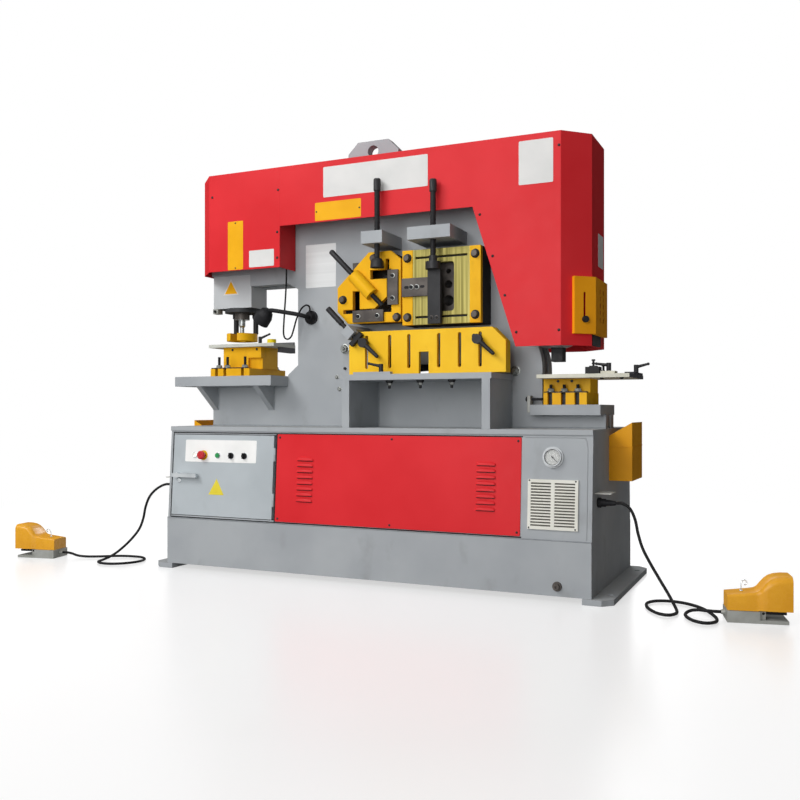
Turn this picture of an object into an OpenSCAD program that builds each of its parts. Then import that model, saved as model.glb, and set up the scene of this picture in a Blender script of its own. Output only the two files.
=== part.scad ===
// Hydraulic ironworker with punch, angle, bar, flat and notch stations on one body.
// X runs along the machine, Y from the operator to the back, Z up.
// The origin lies on the floor at the middle of the anchor holes.

/* [Base] */
// Length of the base cabinet
base_len = 2030; // [2010:10:2300]
// Depth of the base at the plinth
base_depth = 822; // [790:2:900]
// Depth of the base under its top plate
top_depth = 756; // [730:2:780]
// Height of the base top above the floor
base_h = 673; // [650:1:760]
// Height of the plinth's upper edge above the floor
plinth_h = 240; // [200:1:260]
// Step back of the cabinet front behind the plinth
plinth_step = 6; // [3:1:10]
// Wall of the base cabinet
base_wall = 10; // [6:1:14]
// Thickness of the base's top plate
top_plate = 21; // [12:1:30]
// Thickness of the foot bars
foot_t = 23; // [16:1:35]
// Width of a foot bar
foot_w = 115; // [95:1:150]
// How far a foot bar stands out past the base end
foot_out = 80; // [70:1:100]
// Diameter of the anchor holes
anchor_d = 26; // [18:1:32]
// Distance between the anchor holes across the machine
anchor_dy = 600; // [500:10:700]

/* [Body] */
// Thickness of one body plate
plate_t = 48; // [40:1:56]
// Gap between the two body plates, where the beam swings
plate_gap = 64; // [60:1:80]
// Distance of the punch throat's back from the machine's centre
throat_x = 490; // [470:5:520]
// Depth of the punch throat up to the punch axis
throat_depth = 380; // [360:5:400]
// Height of the punch throat's lower corner above the base
throat_low = 296; // [290:1:320]
// Height of the punch throat's upper corner above the base
throat_high = 666; // [640:1:690]
// Distance of the notch throat's back from the machine's centre
notch_x = 730; // [715:5:760]

/* [Hood] */
// Height of the hood's top above the base
hood_h = 1227; // [1200:1:1280]
// Depth of the hood from front to back
hood_depth = 452; // [420:2:500]
// Bevel at the hood's upright end corners
hood_bevel = 105; // [70:1:120]
// Thickness of the hood sheet
hood_t = 3; // [2:0.5:5]

/* [Tables] */
// Height of the punch table slab above the base
ltab_h = 243; // [230:1:260]
// Thickness of the punch table slab
ltab_t = 48; // [36:1:60]
// Depth of the punch table slab
ltab_depth = 470; // [420:2:520]
// Height of the notch table slab above the base
rtab_h = 100; // [80:1:110]
// Thickness of the notch table slab
rtab_t = 44; // [30:1:56]
// Depth of the notch table slab
rtab_depth = 290; // [260:2:340]
// Height of the flat shear table above the base
shear_h = 232; // [220:1:250]
// Thickness of the flat shear table
shear_t = 25; // [16:1:34]
// Depth of the flat shear box in front of the body
box_depth = 295; // [270:1:320]
// Thickness of the loose work plates on the dies
work_t = 16; // [12:1:20]

/* [Shears] */
// Width and height of the angle shear's face plate
angle_size = 319; // [310:1:340]
// Width of the bar shear's face
section_w = 368; // [350:1:400]
// Depth of the blade carriers in front of the body
carrier_d = 110; // [90:1:130]
// Thickness of the yellow face plates
face_t = 25; // [18:1:32]
// Radius of the hold-down spindles
spindle_r = 13; // [10:0.5:15]
// Width of the flat shear's guard
guard_w = 739; // [700:1:780]
// Height of the flat shear's guard
guard_h = 192; // [180:1:205]

/* [Punch] */
// Radius of the punch ram
ram_r = 45; // [36:1:50]
// Radius of the punch tip
punch_r = 11; // [6:0.5:14]
// Stroke of the punch ram
punch_stroke = 66; // [56:1:66]

/* [Cabinet front] */
// Width of the electrical door's opening
door_w = 576; // [540:1:600]
// Thickness of the door and panel sheet
sheet_t = 3; // [2:0.5:4]
// Width of one louvre in the front panel
louvre_w = 84; // [60:1:100]
// Radius of a louvre's eyelid
louvre_r = 9; // [7:0.5:11]
// Louvres in one column
louvre_n = 8; // [4:1:9]
// Slats in one column of the vent grille
slat_n = 15; // [8:1:18]

/* [Foot switches] */
// Length of a foot switch base
pedal_len = 205; // [190:1:240]
// Width of a foot switch base
pedal_w = 120; // [100:1:140]
// Height of a foot switch guard above the floor
pedal_h = 167; // [150:1:190]

/* [Hidden] */
$fn = 48;
// Free play between sliding or turning round pieces, per side
run_clear = 0.08;
// Free play between loose pieces
play = 0.3;
// Depth that welded pieces run into each other
weld_bite = 1;

steel_grey = "#8f969b";
hood_red = "#d3363c";
machine_yellow = "#f7bf1d";
tray_yellow = "#eda31c";
tool_black = "#2b2b2d";
bright_steel = "#c9cccb";
zinc_gold = "#b9b577";
white_plastic = "#e6e6e0";

// Main levels and ends
y_in = plate_gap / 2;
y_face = y_in + plate_t;
punch_x = -throat_x - throat_depth;
body_left = punch_x - 121;
body_right = base_len / 2 - 13;
arm_left = punch_x - 130;
arm_right = notch_x + 205;
hood_top = base_h + hood_h;
body_top = hood_top - hood_t;
ltab_z = base_h + ltab_h;
rtab_z = base_h + rtab_h;
shear_z = base_h + shear_h;
ltab_end = -throat_x - 57;
arm_under = base_h + throat_high + 31;
housing_h = 165;
housing_top = arm_under + 60;
housing_bottom = housing_top - housing_h;
notch_top = base_h + 367;

// Frame of the leaning cabinet front: local Y into the cabinet, local Z up the slope
lean = (base_depth - top_depth) / 2 - plinth_step;
rise = base_h - top_plate - plinth_h;
slope = atan(lean / rise);
front_len = sqrt(lean * lean + rise * rise);
door_x0 = -base_len / 2 + 15;
door_x1 = door_x0 + door_w;
door_s0 = 12;
door_s1 = front_len - 15;
hinge_gap = 12;
hinge_x = door_x1 - hinge_gap / 2;
hinge_r = 5;
hinge_len = 30;
post_w = 10;
panel_x0 = door_x1 + 8;
panel_x1 = base_len / 2 - 286;
panel_lap = 12;
control_s = front_len - 114;
control_x = [door_x0 + 178, door_x0 + 259, door_x0 + 335, door_x0 + 408];
control_r = 11;
handle_x = door_x0 + 38;
handle_s = front_len - 212;
gauge_x = base_len / 2 - 157;
gauge_s = front_len - 88;
gauge_r = 42;
grille_x = base_len / 2 - 155;
grille_low = 40;
grille_gap = 46;
grille_w = 202;
grille_h = gauge_s - gauge_r - grille_gap - grille_low;
grille_s = grille_low + grille_h / 2;

// Shear group
angle_x = -198;
block_z = base_h + 472;
y_block = -y_face - carrier_d;
y_plate = y_block - face_t;
section_x = angle_x + angle_size + 8;
section_z = block_z - 18;
section_h = angle_size + 12;
strip_w = 50;
spindle_y = -max(hood_depth / 2 + 34, -y_plate + 45);
bracket_z = block_z + angle_size + 26;
bracket_h = 55;
angle_spindle_x = angle_x + 224;
section_spindle_x = section_x + 166;
guard_x = angle_x + 81;
guard_z = shear_z + 5;
guard_t = 20;
guard_y = y_plate - 40;
guard_deep = 62;
stud_r = 6.5;
stud_x = [guard_x + 88, guard_x + guard_w - 114];
stud_z = guard_z + 139;
hub_gap = 34;
box_x0 = guard_x + 27;
box_x1 = guard_x + guard_w - 29;
box_wall = 36;
beam_pin_x = -330;
beam_pin_z = base_h + 377;
beam_pin_r = 45;
beam_t = plate_gap - 4;
rod_x = notch_x + 90;
rod_r = 40;
rod_travel = 72;
beam_shoulder = base_h + 617;
flat_slot_h = 55;
flat_x0 = stud_x[0] + 24;
flat_x1 = stud_x[1] - 24;

// Notch station
notch_cx = notch_x + 50;
notch_half = 25;
notch_die_z = rtab_z + 51;
notch_work_z = notch_die_z + 60;

// Slab between two corners
module slab(low, high) {
    translate(low) cube(high - low);
}

// Extrudes an outline in X and Z from y0 to y1
module along_y(y0, y1) {
    translate([0, y1, 0]) rotate([90, 0, 0]) linear_extrude(y1 - y0) children();
}

// Extrudes an outline in Y and Z from x0 to x1
module along_x(x0, x1) {
    translate([x0, 0, 0]) rotate([90, 0, 90]) linear_extrude(x1 - x0) children();
}

// Puts children in the frame of the leaning cabinet front
module on_front(x = 0, s = 0) {
    translate([0, -base_depth / 2 + plinth_step, plinth_h])
        rotate([-slope, 0, 0])
            translate([x, 0, s]) children();
}

// Round bar along local Y of the cabinet front, from depth y0 to y1
module front_bar(r, y0, y1) {
    translate([0, y1, 0]) rotate([90, 0, 0]) cylinder(r = r, h = y1 - y0);
}

function unit(v) = v / norm(v);
function heading(path, i) = unit(path[min(i + 1, len(path) - 1)] - path[max(i - 1, 0)]);
function carried(path, i) = i == 0 ? unit(cross(heading(path, 0), [0.3, 0.5, 0.8]))
    : let (t = heading(path, i), m = carried(path, i - 1)) unit(m - (m * t) * t);

// Tube of radius r swept along the points of a path
module tube(path, r, sides = 8) {
    rings = len(path);
    pts = [for (i = [0 : rings - 1]) let (n = carried(path, i), b = cross(heading(path, i), n))
        for (k = [0 : sides - 1]) path[i] + r * (cos(360 * k / sides) * n + sin(360 * k / sides) * b)];
    walls = [for (i = [0 : rings - 2]) for (k = [0 : sides - 1]) let (m = (k + 1) % sides)
        [i * sides + k, (i + 1) * sides + k, (i + 1) * sides + m, i * sides + m]];
    caps = [[for (k = [0 : sides - 1]) k], [for (k = [0 : sides - 1]) rings * sides - 1 - k]];
    polyhedron(points = pts, faces = concat(walls, caps));
}

// Base cabinet: welded box with three bays, foot bars and door knuckles
module base_section(inset, low) {
    half = base_depth / 2 - inset;
    front = half - plinth_step;
    high = base_h - top_plate;
    polygon([[-half, low], [-half, plinth_h - inset], [-front, plinth_h - inset], [-front, plinth_h],
        [-top_depth / 2 + inset, high], [top_depth / 2 - inset, high],
        [front, plinth_h], [front, plinth_h - inset], [half, plinth_h - inset], [half, low]]);
}

module base_bay(x0, x1) {
    along_x(x0, x1) base_section(base_wall, foot_t + base_wall);
}

module foot_bar(side) {
    corner = 40;
    half = anchor_dy / 2 + 120;
    x1 = base_len / 2 + foot_out;
    x0 = x1 - foot_w;
    mirror([side < 0 ? 1 : 0, 0, 0]) difference() {
        union() {
            linear_extrude(foot_t) polygon([[x0, -half], [x1 - corner, -half], [x1, -half + corner],
                [x1, half - corner], [x1 - corner, half], [x0, half]]);
            slab([x0, -top_depth / 2, foot_t - weld_bite], [base_len / 2, top_depth / 2, foot_t + weld_bite]);
        }
        for (y = [-anchor_dy / 2, anchor_dy / 2])
            translate([x1 - 30, y, -1]) cylinder(d = anchor_d, h = foot_t + 2);
    }
}

module base_cabinet() {
    top_lip = 6;
    post_x = door_x1 + post_w / 2;
    rib_x = panel_x1 + 10;
    color(steel_grey) union() {
        difference() {
            union() {
                along_x(-base_len / 2, base_len / 2) base_section(0, foot_t);
                slab([-base_len / 2, -top_depth / 2 - top_lip, base_h - top_plate],
                    [base_len / 2, top_depth / 2 + top_lip, base_h]);
                slab([-base_len / 2, -top_depth / 2, base_h - top_plate - weld_bite],
                    [base_len / 2, top_depth / 2, base_h - top_plate + weld_bite]);
            }
            base_bay(-base_len / 2 + base_wall, post_x - post_w / 2);
            base_bay(post_x + post_w / 2, rib_x - post_w / 2);
            base_bay(rib_x + post_w / 2, base_len / 2 - base_wall);
            on_front() slab([door_x0, -1, door_s0], [door_x1, base_wall + 2, door_s1]);
            on_front() slab([panel_x0 + panel_lap, -1, door_s0 + panel_lap],
                [panel_x1 - panel_lap, base_wall + 2, door_s1 - panel_lap]);
            on_front(grille_x, grille_s) slab([-grille_w / 2 + 10, -1, -grille_h / 2 + 10],
                [grille_w / 2 - 10, base_wall + 2, grille_h / 2 - 10]);
            on_front(gauge_x, gauge_s) front_bar(gauge_r - 8, -1, base_wall + 2);
        }
        for (side = [-1, 1]) foot_bar(side);
        for (s = [door_s0 + 60, door_s1 - 120]) on_front(hinge_x, s) {
            cylinder(r = hinge_r, h = hinge_len);
            slab([0, 1, 0], [hinge_gap / 2 + 8, hinge_r - 2, hinge_len]);
        }
    }
}

// Front panel of red sheet with two columns of pressed louvres
module louvre() {
    skin = 1.5;
    difference() {
        rotate([0, 90, 0]) cylinder(r = louvre_r, h = louvre_w, center = true);
        rotate([0, 90, 0]) cylinder(r = louvre_r - skin, h = louvre_w - 2 * skin, center = true);
        slab([-louvre_w, -2 * louvre_r, -2 * louvre_r], [louvre_w, 2 * louvre_r, 0]);
        slab([-louvre_w, 0, -1], [louvre_w, 2 * louvre_r, 2 * louvre_r]);
    }
}

module louvre_spots() {
    pitch = 26;
    start = (door_s0 + door_s1) / 2 - 10 - (louvre_n - 1) * pitch / 2;
    for (x = [panel_x0 + 149, panel_x1 - 148])
        for (i = [0 : louvre_n - 1]) translate([x, -sheet_t, start + i * pitch]) children();
}

module front_panel() {
    color(hood_red) on_front() {
        difference() {
            slab([panel_x0, -sheet_t, door_s0 - 4], [panel_x1, 0, door_s1 + 4]);
            louvre_spots() slab([-louvre_w / 2 + 2, -1, 0], [louvre_w / 2 - 2, sheet_t + 1, louvre_r - 2]);
        }
        louvre_spots() louvre();
    }
}

// Moulded vent grille with two columns of slats
module vent_grille() {
    deep = 7;
    rim = 10;
    pitch = (grille_h - 2 * rim) / slat_n;
    color(white_plastic) on_front(grille_x, grille_s) difference() {
        slab([-grille_w / 2, -deep, -grille_h / 2], [grille_w / 2, 0, grille_h / 2]);
        for (side = [-1, 1]) for (i = [0 : slat_n - 1])
            translate([side * (grille_w - rim) / 4, 0, -grille_h / 2 + rim + (i + 0.5) * pitch])
                slab([-grille_w / 4 + rim, -deep - 1, -pitch / 4], [grille_w / 4 - rim, 1, pitch / 4]);
    }
}

// Pressure gauge let into the cabinet front
gauge_face = -10;
module gauge_case() {
    rim = 36;
    color(bright_steel) on_front(gauge_x, gauge_s) difference() {
        union() {
            front_bar(gauge_r, -6, 0);
            front_bar(rim, -18, -6);
            front_bar(gauge_r - 9, 0, 42);
        }
        front_bar(rim - 4, -19, gauge_face);
    }
}

module gauge_pointer() {
    color(tool_black) on_front(gauge_x, gauge_s) rotate([0, 135, 0]) {
        front_bar(4, gauge_face - 3, gauge_face - play);
        slab([-1.2, gauge_face - 2.5, -8], [1.2, gauge_face - 1.2, 26]);
    }
}

// Mounting plate with switchgear across the electrical bay
module electrical_plate() {
    plate_y = base_depth / 2 - 130;
    plate_top = base_h - top_plate - 40;
    color(bright_steel) {
        slab([-base_len / 2 + base_wall, plate_y, plinth_h - 140], [door_x1, plate_y + 3, plate_top]);
        for (i = [0 : 2]) slab([door_x0 + 90 + i * 70, plate_y - 85, plate_top - 152],
            [door_x0 + 145 + i * 70, plate_y + weld_bite, plate_top - 62]);
        slab([door_x0 + 340, plate_y - 100, plate_top - 182],
            [door_x0 + 470, plate_y + weld_bite, plate_top - 72]);
        slab([door_x0 + 80, plate_y - 45, plate_top - 362],
            [door_x0 + 480, plate_y + weld_bite, plate_top - 312]);
    }
}

// Oil tank with motor, pump head and valve block
module hydraulic_unit() {
    tank_wall = 10;
    tank_len = 660;
    tank_front = -base_depth / 2 + 191;
    tank_back = base_depth / 2 - 151;
    motor_h = 190;
    flange_h = 20;
    fan_h = 24;
    head_room = 28;
    tank_x = panel_x0 + 60;
    tank_top = base_h - top_plate - head_room - flange_h - motor_h - fan_h;
    floor_z = foot_t + base_wall;
    color("#7d868c") {
        difference() {
            slab([tank_x, tank_front, floor_z], [tank_x + tank_len, tank_back, tank_top]);
            slab([tank_x + tank_wall, tank_front + tank_wall, floor_z + tank_wall],
                [tank_x + tank_len - tank_wall, tank_back - tank_wall, tank_top - tank_wall]);
        }
        translate([tank_x + 170, 20, tank_top - weld_bite]) {
            cylinder(r = 130, h = flange_h + weld_bite);
            cylinder(r = 95, h = flange_h + motor_h + weld_bite);
            cylinder(r = 70, h = flange_h + motor_h + fan_h + weld_bite);
        }
        slab([tank_x + 370, -80, tank_top - weld_bite], [tank_x + 560, 100, tank_top + 110]);
    }
}

// Body plates
function notch_edge() = [for (t = [1 : -0.25 : 0]) [notch_x - 24 * t * t, notch_top - 110 + 110 * t]];

module body_outline() {
    edge = 40;
    polygon(concat([[body_left, base_h], [body_left, ltab_z - ltab_t], [ltab_end, ltab_z - ltab_t],
        [ltab_end, base_h + throat_low - 47], [-throat_x, base_h + throat_low],
        [-throat_x, base_h + throat_high], [-throat_x - 58, arm_under],
        [punch_x + 103, arm_under], [punch_x + 103, housing_top], [arm_left, housing_top],
        [arm_left, body_top - edge], [arm_left + edge, body_top], [arm_right - edge, body_top],
        [arm_right, body_top - edge], [arm_right, notch_top]],
        notch_edge(), [[notch_x, rtab_z - rtab_t], [body_right, rtab_z - rtab_t],
        [body_right, base_h]]));
}

module window(x0, x1, z0, z1) {
    slab([x0, -y_face - 1, z0], [x1, y_face + 1, z1]);
}

module body_windows() {
    window(angle_x + 8, angle_x + angle_size - 31, block_z + 28, block_z + angle_size - 19);
    window(section_x + 150, section_x + 255, section_z + 45, section_z + section_h - 50);
    window(flat_x0, flat_x1, shear_z, shear_z + flat_slot_h);
    window(rod_x - 92, rod_x + 92, beam_shoulder - rod_travel - 10, beam_shoulder + 360);
    translate([beam_pin_x, 0, beam_pin_z]) rotate([90, 0, 0])
        cylinder(r = beam_pin_r + run_clear, h = 2 * y_in + plate_t, center = true);
}

// Bracket arm in front of the body that holds a spindle's thread
module spindle_arm(x0, x1, hole_x) {
    difference() {
        slab([x0, spindle_y - 30, bracket_z], [x1, -y_face, bracket_z + bracket_h]);
        translate([hole_x, spindle_y, bracket_z - 1])
            cylinder(r = spindle_r + run_clear, h = bracket_h + 2);
    }
}

// Slanting guard spindle: local X points from its grip down to its foot
guard_spindle_c = [guard_x + 16, guard_y - 21, guard_z + 188];
guard_spindle_r = 10;
module on_guard_spindle() {
    translate(guard_spindle_c) rotate([0, 45, 0]) children();
}

module body_front_plate() {
    color(steel_grey) {
        difference() {
            along_y(-y_face, -y_in) body_outline();
            body_windows();
        }
        spindle_arm(angle_spindle_x - 66, angle_spindle_x + 38, angle_spindle_x);
        spindle_arm(section_spindle_x - 110, section_spindle_x + 90, section_spindle_x);
        difference() {
            on_guard_spindle() {
                slab([-24, -26, -24], [24, 20, 24]);
                slab([-24, 20, -24], [0, -guard_spindle_c[1] - y_face, 24]);
            }
            on_guard_spindle() rotate([0, 90, 0])
                cylinder(r = guard_spindle_r + run_clear, h = 60, center = true);
        }
    }
}

lug_x = -110;
lug_w = 264;
lug_t = 50;
module lifting_lug() {
    cut = 52;
    lug_top = hood_top + 130;
    low = body_top - 80;
    x0 = lug_x - lug_w / 2;
    x1 = lug_x + lug_w / 2;
    difference() {
        along_y(-lug_t / 2, lug_t / 2) polygon([[x0, low], [x0, lug_top - cut], [x0 + cut, lug_top],
            [x1 - cut, lug_top], [x1, lug_top - cut], [x1, low]]);
        translate([lug_x, 0, hood_top + 80]) rotate([90, 0, 0])
            cylinder(r = 28, h = lug_t + 2, center = true);
    }
}

// Spacer bolted between the body plates, a close fit to the rear one
module spacer(x0, x1, z0, z1) {
    slab([x0, -y_in, z0], [x1, y_in - play, z1]);
}

module body_rear_plate() {
    color(steel_grey) difference() {
        along_y(y_in, y_face) body_outline();
        body_windows();
    }
}

// What ties the two body plates: spacers, the lifting lug on the top one, and the beam's pin
module body_ties() {
    color(steel_grey) {
        spacer(body_left + 20, notch_x - 20, base_h, shear_z - 60);
        spacer(notch_x - 20 - weld_bite, body_right - 20, base_h, rtab_z - rtab_t - 10);
        spacer(punch_x + 120, -throat_x - 20, arm_under + 20, body_top - 80);
        spacer(-throat_x + 6, -throat_x + 40, base_h + throat_low, base_h + throat_high);
        spacer(-throat_x + 40, arm_right - 50, body_top - 130, body_top - 60);
        lifting_lug();
    }
    beam_pin();
}

// Hoods of folded sheet, open below
hood_x0 = arm_left - 14;
hood_xs = -throat_x - 13;
hood_x1 = arm_right + 18;
left_hood_z = base_h + throat_high + 88;
beam_hood_z = base_h + 948;
right_hood_z = base_h + 344;
slant_x0 = notch_x - 267;
slant_x1 = notch_x - 75;

module hood_plan(end_x, seam_x, inset) {
    side = end_x > seam_x ? 1 : -1;
    d = hood_depth / 2 - inset;
    b = hood_bevel - inset * (2 - sqrt(2));
    e = end_x - side * inset;
    polygon([[seam_x, -d], [e - side * b, -d], [e, -d + b], [e, d - b], [e - side * b, d], [seam_x, d]]);
}

module left_hood() {
    tall = hood_top - left_hood_z;
    color(hood_red) difference() {
        translate([0, 0, left_hood_z]) linear_extrude(tall) hood_plan(hood_x0, hood_xs, 0);
        translate([0, 0, left_hood_z - 1]) linear_extrude(tall - hood_t + 1)
            hood_plan(hood_x0, hood_xs - hood_t, hood_t);
        slab([hood_xs - hood_t - 1, -y_face - 3, left_hood_z - 1],
            [hood_xs + 1, y_face + 3, hood_top - hood_t]);
    }
}

module main_hood() {
    tall = hood_top - right_hood_z;
    side_open = 76;
    color(hood_red) difference() {
        intersection() {
            translate([0, 0, right_hood_z]) linear_extrude(tall) hood_plan(hood_x1, hood_xs, 0);
            along_y(-hood_depth, hood_depth) polygon([[hood_xs, beam_hood_z], [slant_x0, beam_hood_z],
                [slant_x1, right_hood_z], [hood_x1, right_hood_z], [hood_x1, hood_top], [hood_xs, hood_top]]);
        }
        translate([0, 0, right_hood_z - 1]) linear_extrude(tall - hood_t + 1)
            hood_plan(hood_x1, hood_xs - 1, hood_t);
        slab([hood_x1 - hood_t - 1, -hood_depth / 2 + hood_bevel, right_hood_z - 1],
            [hood_x1 + 1, hood_depth / 2 - hood_bevel, right_hood_z + side_open]);
        slab([lug_x - lug_w / 2 - 4, -lug_t / 2 - 4, hood_top - hood_t - 1],
            [lug_x + lug_w / 2 + 4, lug_t / 2 + 4, hood_top + 1]);
    }
}

// Limit switch cover wrapped round the hood's front right corner
cover_z = right_hood_z + 49;
cover_h = 236;
cover_out = 18;
cover_start = 38;
knob_along = 72;
knob_low = 59;
knob_travel = 108;
module cover_plan(out, trim) {
    a = cover_start + trim;
    corner = hood_x1 + out;
    bevel_x = hood_x1 - hood_bevel;
    bevel_y = -hood_depth / 2;
    step = out / sqrt(2);
    polygon([[bevel_x + a, bevel_y + a], [bevel_x + a + step, bevel_y + a - step],
        [corner, bevel_y + hood_bevel + out * (1 - sqrt(2))], [corner, 100 - trim],
        [hood_x1, 100 - trim], [hood_x1, bevel_y + hood_bevel]]);
}

// Frame on the cover's bevelled face, local Z along the face's outward normal
module on_cover(z) {
    translate([hood_x1 - hood_bevel + knob_along, -hood_depth / 2 + knob_along, z])
        rotate([0, 0, -45]) rotate([0, 90, 0]) children();
}

module limit_switch_cover() {
    skin = 2;
    slot_z = cover_z + knob_low;
    color(machine_yellow) difference() {
        translate([0, 0, cover_z]) linear_extrude(cover_h) cover_plan(cover_out, 0);
        translate([0, 0, cover_z + skin]) linear_extrude(cover_h - 2 * skin)
            cover_plan(cover_out - skin, skin);
        on_cover(slot_z) slab([-knob_travel, -5, cover_out - skin - 1], [0, 5, cover_out + 1]);
        for (up = [0, knob_travel])
            on_cover(slot_z) translate([-up, 0, cover_out - skin - 1]) cylinder(r = 5, h = skin + 2);
        for (y = [-50, 10]) for (i = [0 : 4])
            slab([hood_x1 + cover_out - skin - 1, y, cover_z + 55 + i * 30],
                [hood_x1 + cover_out + 1, y + 18, cover_z + 75 + i * 30]);
    }
}

module limit_knob() {
    color(tool_black) on_cover(cover_z + knob_low) {
        translate([0, 0, 3]) cylinder(r = 5 - play, h = cover_out + 3);
        translate([0, 0, cover_out + play]) cylinder(r = 13, h = 14);
        translate([0, 0, 6]) cylinder(r = 9, h = cover_out - 9);
    }
}

// Punch station
flange_t = 20;
module punch_housing() {
    color(steel_grey) difference() {
        union() {
            slab([punch_x - 125, -70, housing_bottom], [punch_x + 103, 70, housing_top]);
            translate([punch_x, 0, housing_bottom - flange_t])
                cylinder(r = ram_r + 42, h = flange_t + weld_bite);
        }
        translate([punch_x, 0, housing_bottom - flange_t - 1])
            cylinder(r = ram_r + run_clear, h = housing_h + flange_t - 4);
    }
}

nut_z = housing_bottom - 54;
die_z = ltab_z + 150;
punch_table_z = die_z;
punch_tip_z = die_z + work_t + punch_stroke - 2;
module punch_ram() {
    color(tool_black) translate([punch_x, 0, 0]) {
        translate([0, 0, nut_z + 46]) cylinder(r = ram_r, h = housing_top - 10 - nut_z - 46);
        translate([0, 0, nut_z]) cylinder(r = ram_r - 8, h = 46);
        translate([0, 0, punch_tip_z + 26]) cylinder(r1 = punch_r, r2 = punch_r + 6, h = 10);
        translate([0, 0, punch_tip_z + 36]) cylinder(r = punch_r + 6, h = nut_z - punch_tip_z - 36);
        translate([0, 0, punch_tip_z]) cylinder(r = punch_r, h = 26);
    }
}

// Punch and notch table slabs with their gussets
module gusset(x) {
    translate([x, 0, 0]) along_x(0, 30) polygon([[-ltab_depth / 2 + 10, ltab_z - ltab_t],
        [-y_face, ltab_z - ltab_t], [-y_face, ltab_z - ltab_t - 118]]);
}

module die_tables() {
    color(steel_grey) {
        difference() {
            slab([punch_x - 240, -ltab_depth / 2, ltab_z - ltab_t],
                [ltab_end, ltab_depth / 2, ltab_z]);
            translate([punch_x, 0, ltab_z - ltab_t - 1]) cylinder(r = 18, h = ltab_t + 2);
        }
        for (side = [0, 1]) mirror([0, side, 0]) {
            gusset(punch_x - 121 + 2);
            gusset(ltab_end - 110);
        }
        difference() {
            slab([notch_x - 36, -rtab_depth / 2, rtab_z - rtab_t],
                [notch_x + 263, rtab_depth / 2, rtab_z]);
            slab([notch_x - 37, -y_face - play, rtab_z - rtab_t - 1],
                [notch_x + play, y_face + play, rtab_z + 1]);
            slab([notch_cx - 20, -20, rtab_z - rtab_t - 1], [notch_cx + 20, 20, rtab_z + 1]);
        }
    }
}

// Die holder with clamping slots and the die ring at the punch axis
module die_holder() {
    flange = 40;
    half = 165;
    block = 77;
    slot_w = 16;
    color(machine_yellow) difference() {
        union() {
            slab([punch_x - 75, -half, ltab_z], [punch_x + 155, half, ltab_z + flange]);
            slab([punch_x - 60, -block, ltab_z + flange], [punch_x + 165, block, die_z]);
            translate([punch_x, 0, die_z]) cylinder(r = 30, h = work_t + 2);
        }
        translate([punch_x, 0, ltab_z - 1]) cylinder(r = 18, h = die_z - ltab_z - 24);
        translate([punch_x, 0, die_z - 26]) cylinder(r = punch_r + play, h = work_t + 40);
        for (x = [-40, 10, 114]) for (side = [-1, 1])
            slab([punch_x + x - slot_w / 2, side > 0 ? half - 60 : -half - 1, ltab_z - 1],
                [punch_x + x + slot_w / 2, side > 0 ? half + 1 : -half + 60, ltab_z + flange + 1]);
        slab([punch_x + 90, -block - 1, ltab_z + flange],
            [punch_x + 166, -block + 14, ltab_z + flange + 56]);
    }
}

// Loose work plate on the punch die, with a back fence and a stop
lever_spot = [punch_x + 155, -70];
module punch_table() {
    z0 = punch_table_z;
    z1 = z0 + work_t;
    color(bright_steel) {
        difference() {
            slab([punch_x - 133, -102, z0], [punch_x + 254, 102, z1]);
            translate([punch_x, 0, z0 - 1]) cylinder(r = 30 + play, h = work_t + 2);
        }
        slab([punch_x - 133, 84, z1], [punch_x + 254, 98, z1 + 14]);
        slab([punch_x + 226, -20, z0 - 26], [punch_x + 254, 102, z0]);
        translate([punch_x + 216, -60, z1]) cylinder(r = 22, h = 20);
        translate([lever_spot[0], lever_spot[1], z1]) cylinder(r = 5, h = 30);
    }
}

// Clamp lever that turns on a stud along local Z
module clamp_lever(stud, hub, tall, reach, tilt) {
    difference() {
        union() {
            cylinder(r = hub, h = tall);
            translate([0, 0, tall - hub]) rotate([0, 90 - tilt, 0]) {
                cylinder(r1 = hub * 0.7, r2 = hub * 0.5, h = reach);
                translate([0, 0, reach]) sphere(r = hub * 0.62);
            }
        }
        translate([0, 0, -1]) cylinder(r = stud + run_clear, h = tall + 1 - 3);
    }
}

module punch_lever() {
    color(tool_black) translate([lever_spot[0], lever_spot[1], punch_table_z + work_t + play])
        clamp_lever(5, 9, 34, 58, 20);
}

// Stripper plate hung on two posts from the cylinder block
module stripper() {
    z0 = punch_table_z + work_t + 20;
    thick = 38;
    post_h = housing_bottom - flange_t - z0 - thick;
    color(machine_yellow) {
        difference() {
            translate([punch_x, 0, z0]) cylinder(r = 78, h = thick);
            translate([punch_x, 0, z0 - 1]) cylinder(r = punch_r + 9, h = thick + 2);
            slab([punch_x - punch_r - 9, -80, z0 - 1], [punch_x + punch_r + 9, 0, z0 + thick + 1]);
        }
        for (side = [-1, 1]) translate([punch_x + side * (ram_r + 15), 34, z0 + thick]) {
            cylinder(r = 13, h = post_h);
            translate([0, 0, post_h - 22]) cylinder(r = 18, h = 22);
        }
    }
}

// Shear cylinder, its rod and the swinging beam
module shear_cylinder() {
    top = beam_shoulder + 360;
    tall = 300;
    color(steel_grey) translate([rod_x, 0, top - tall]) difference() {
        cylinder(r = 86, h = tall);
        translate([0, 0, -1]) cylinder(r = rod_r + run_clear, h = tall - 24);
    }
}

module shear_rod() {
    dome = 120;
    color(bright_steel) translate([rod_x, 0, beam_shoulder + play]) intersection() {
        cylinder(r = rod_r, h = 250);
        translate([0, 0, dome]) union() {
            sphere(r = dome);
            cylinder(r = dome, h = 250);
        }
    }
}

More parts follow.
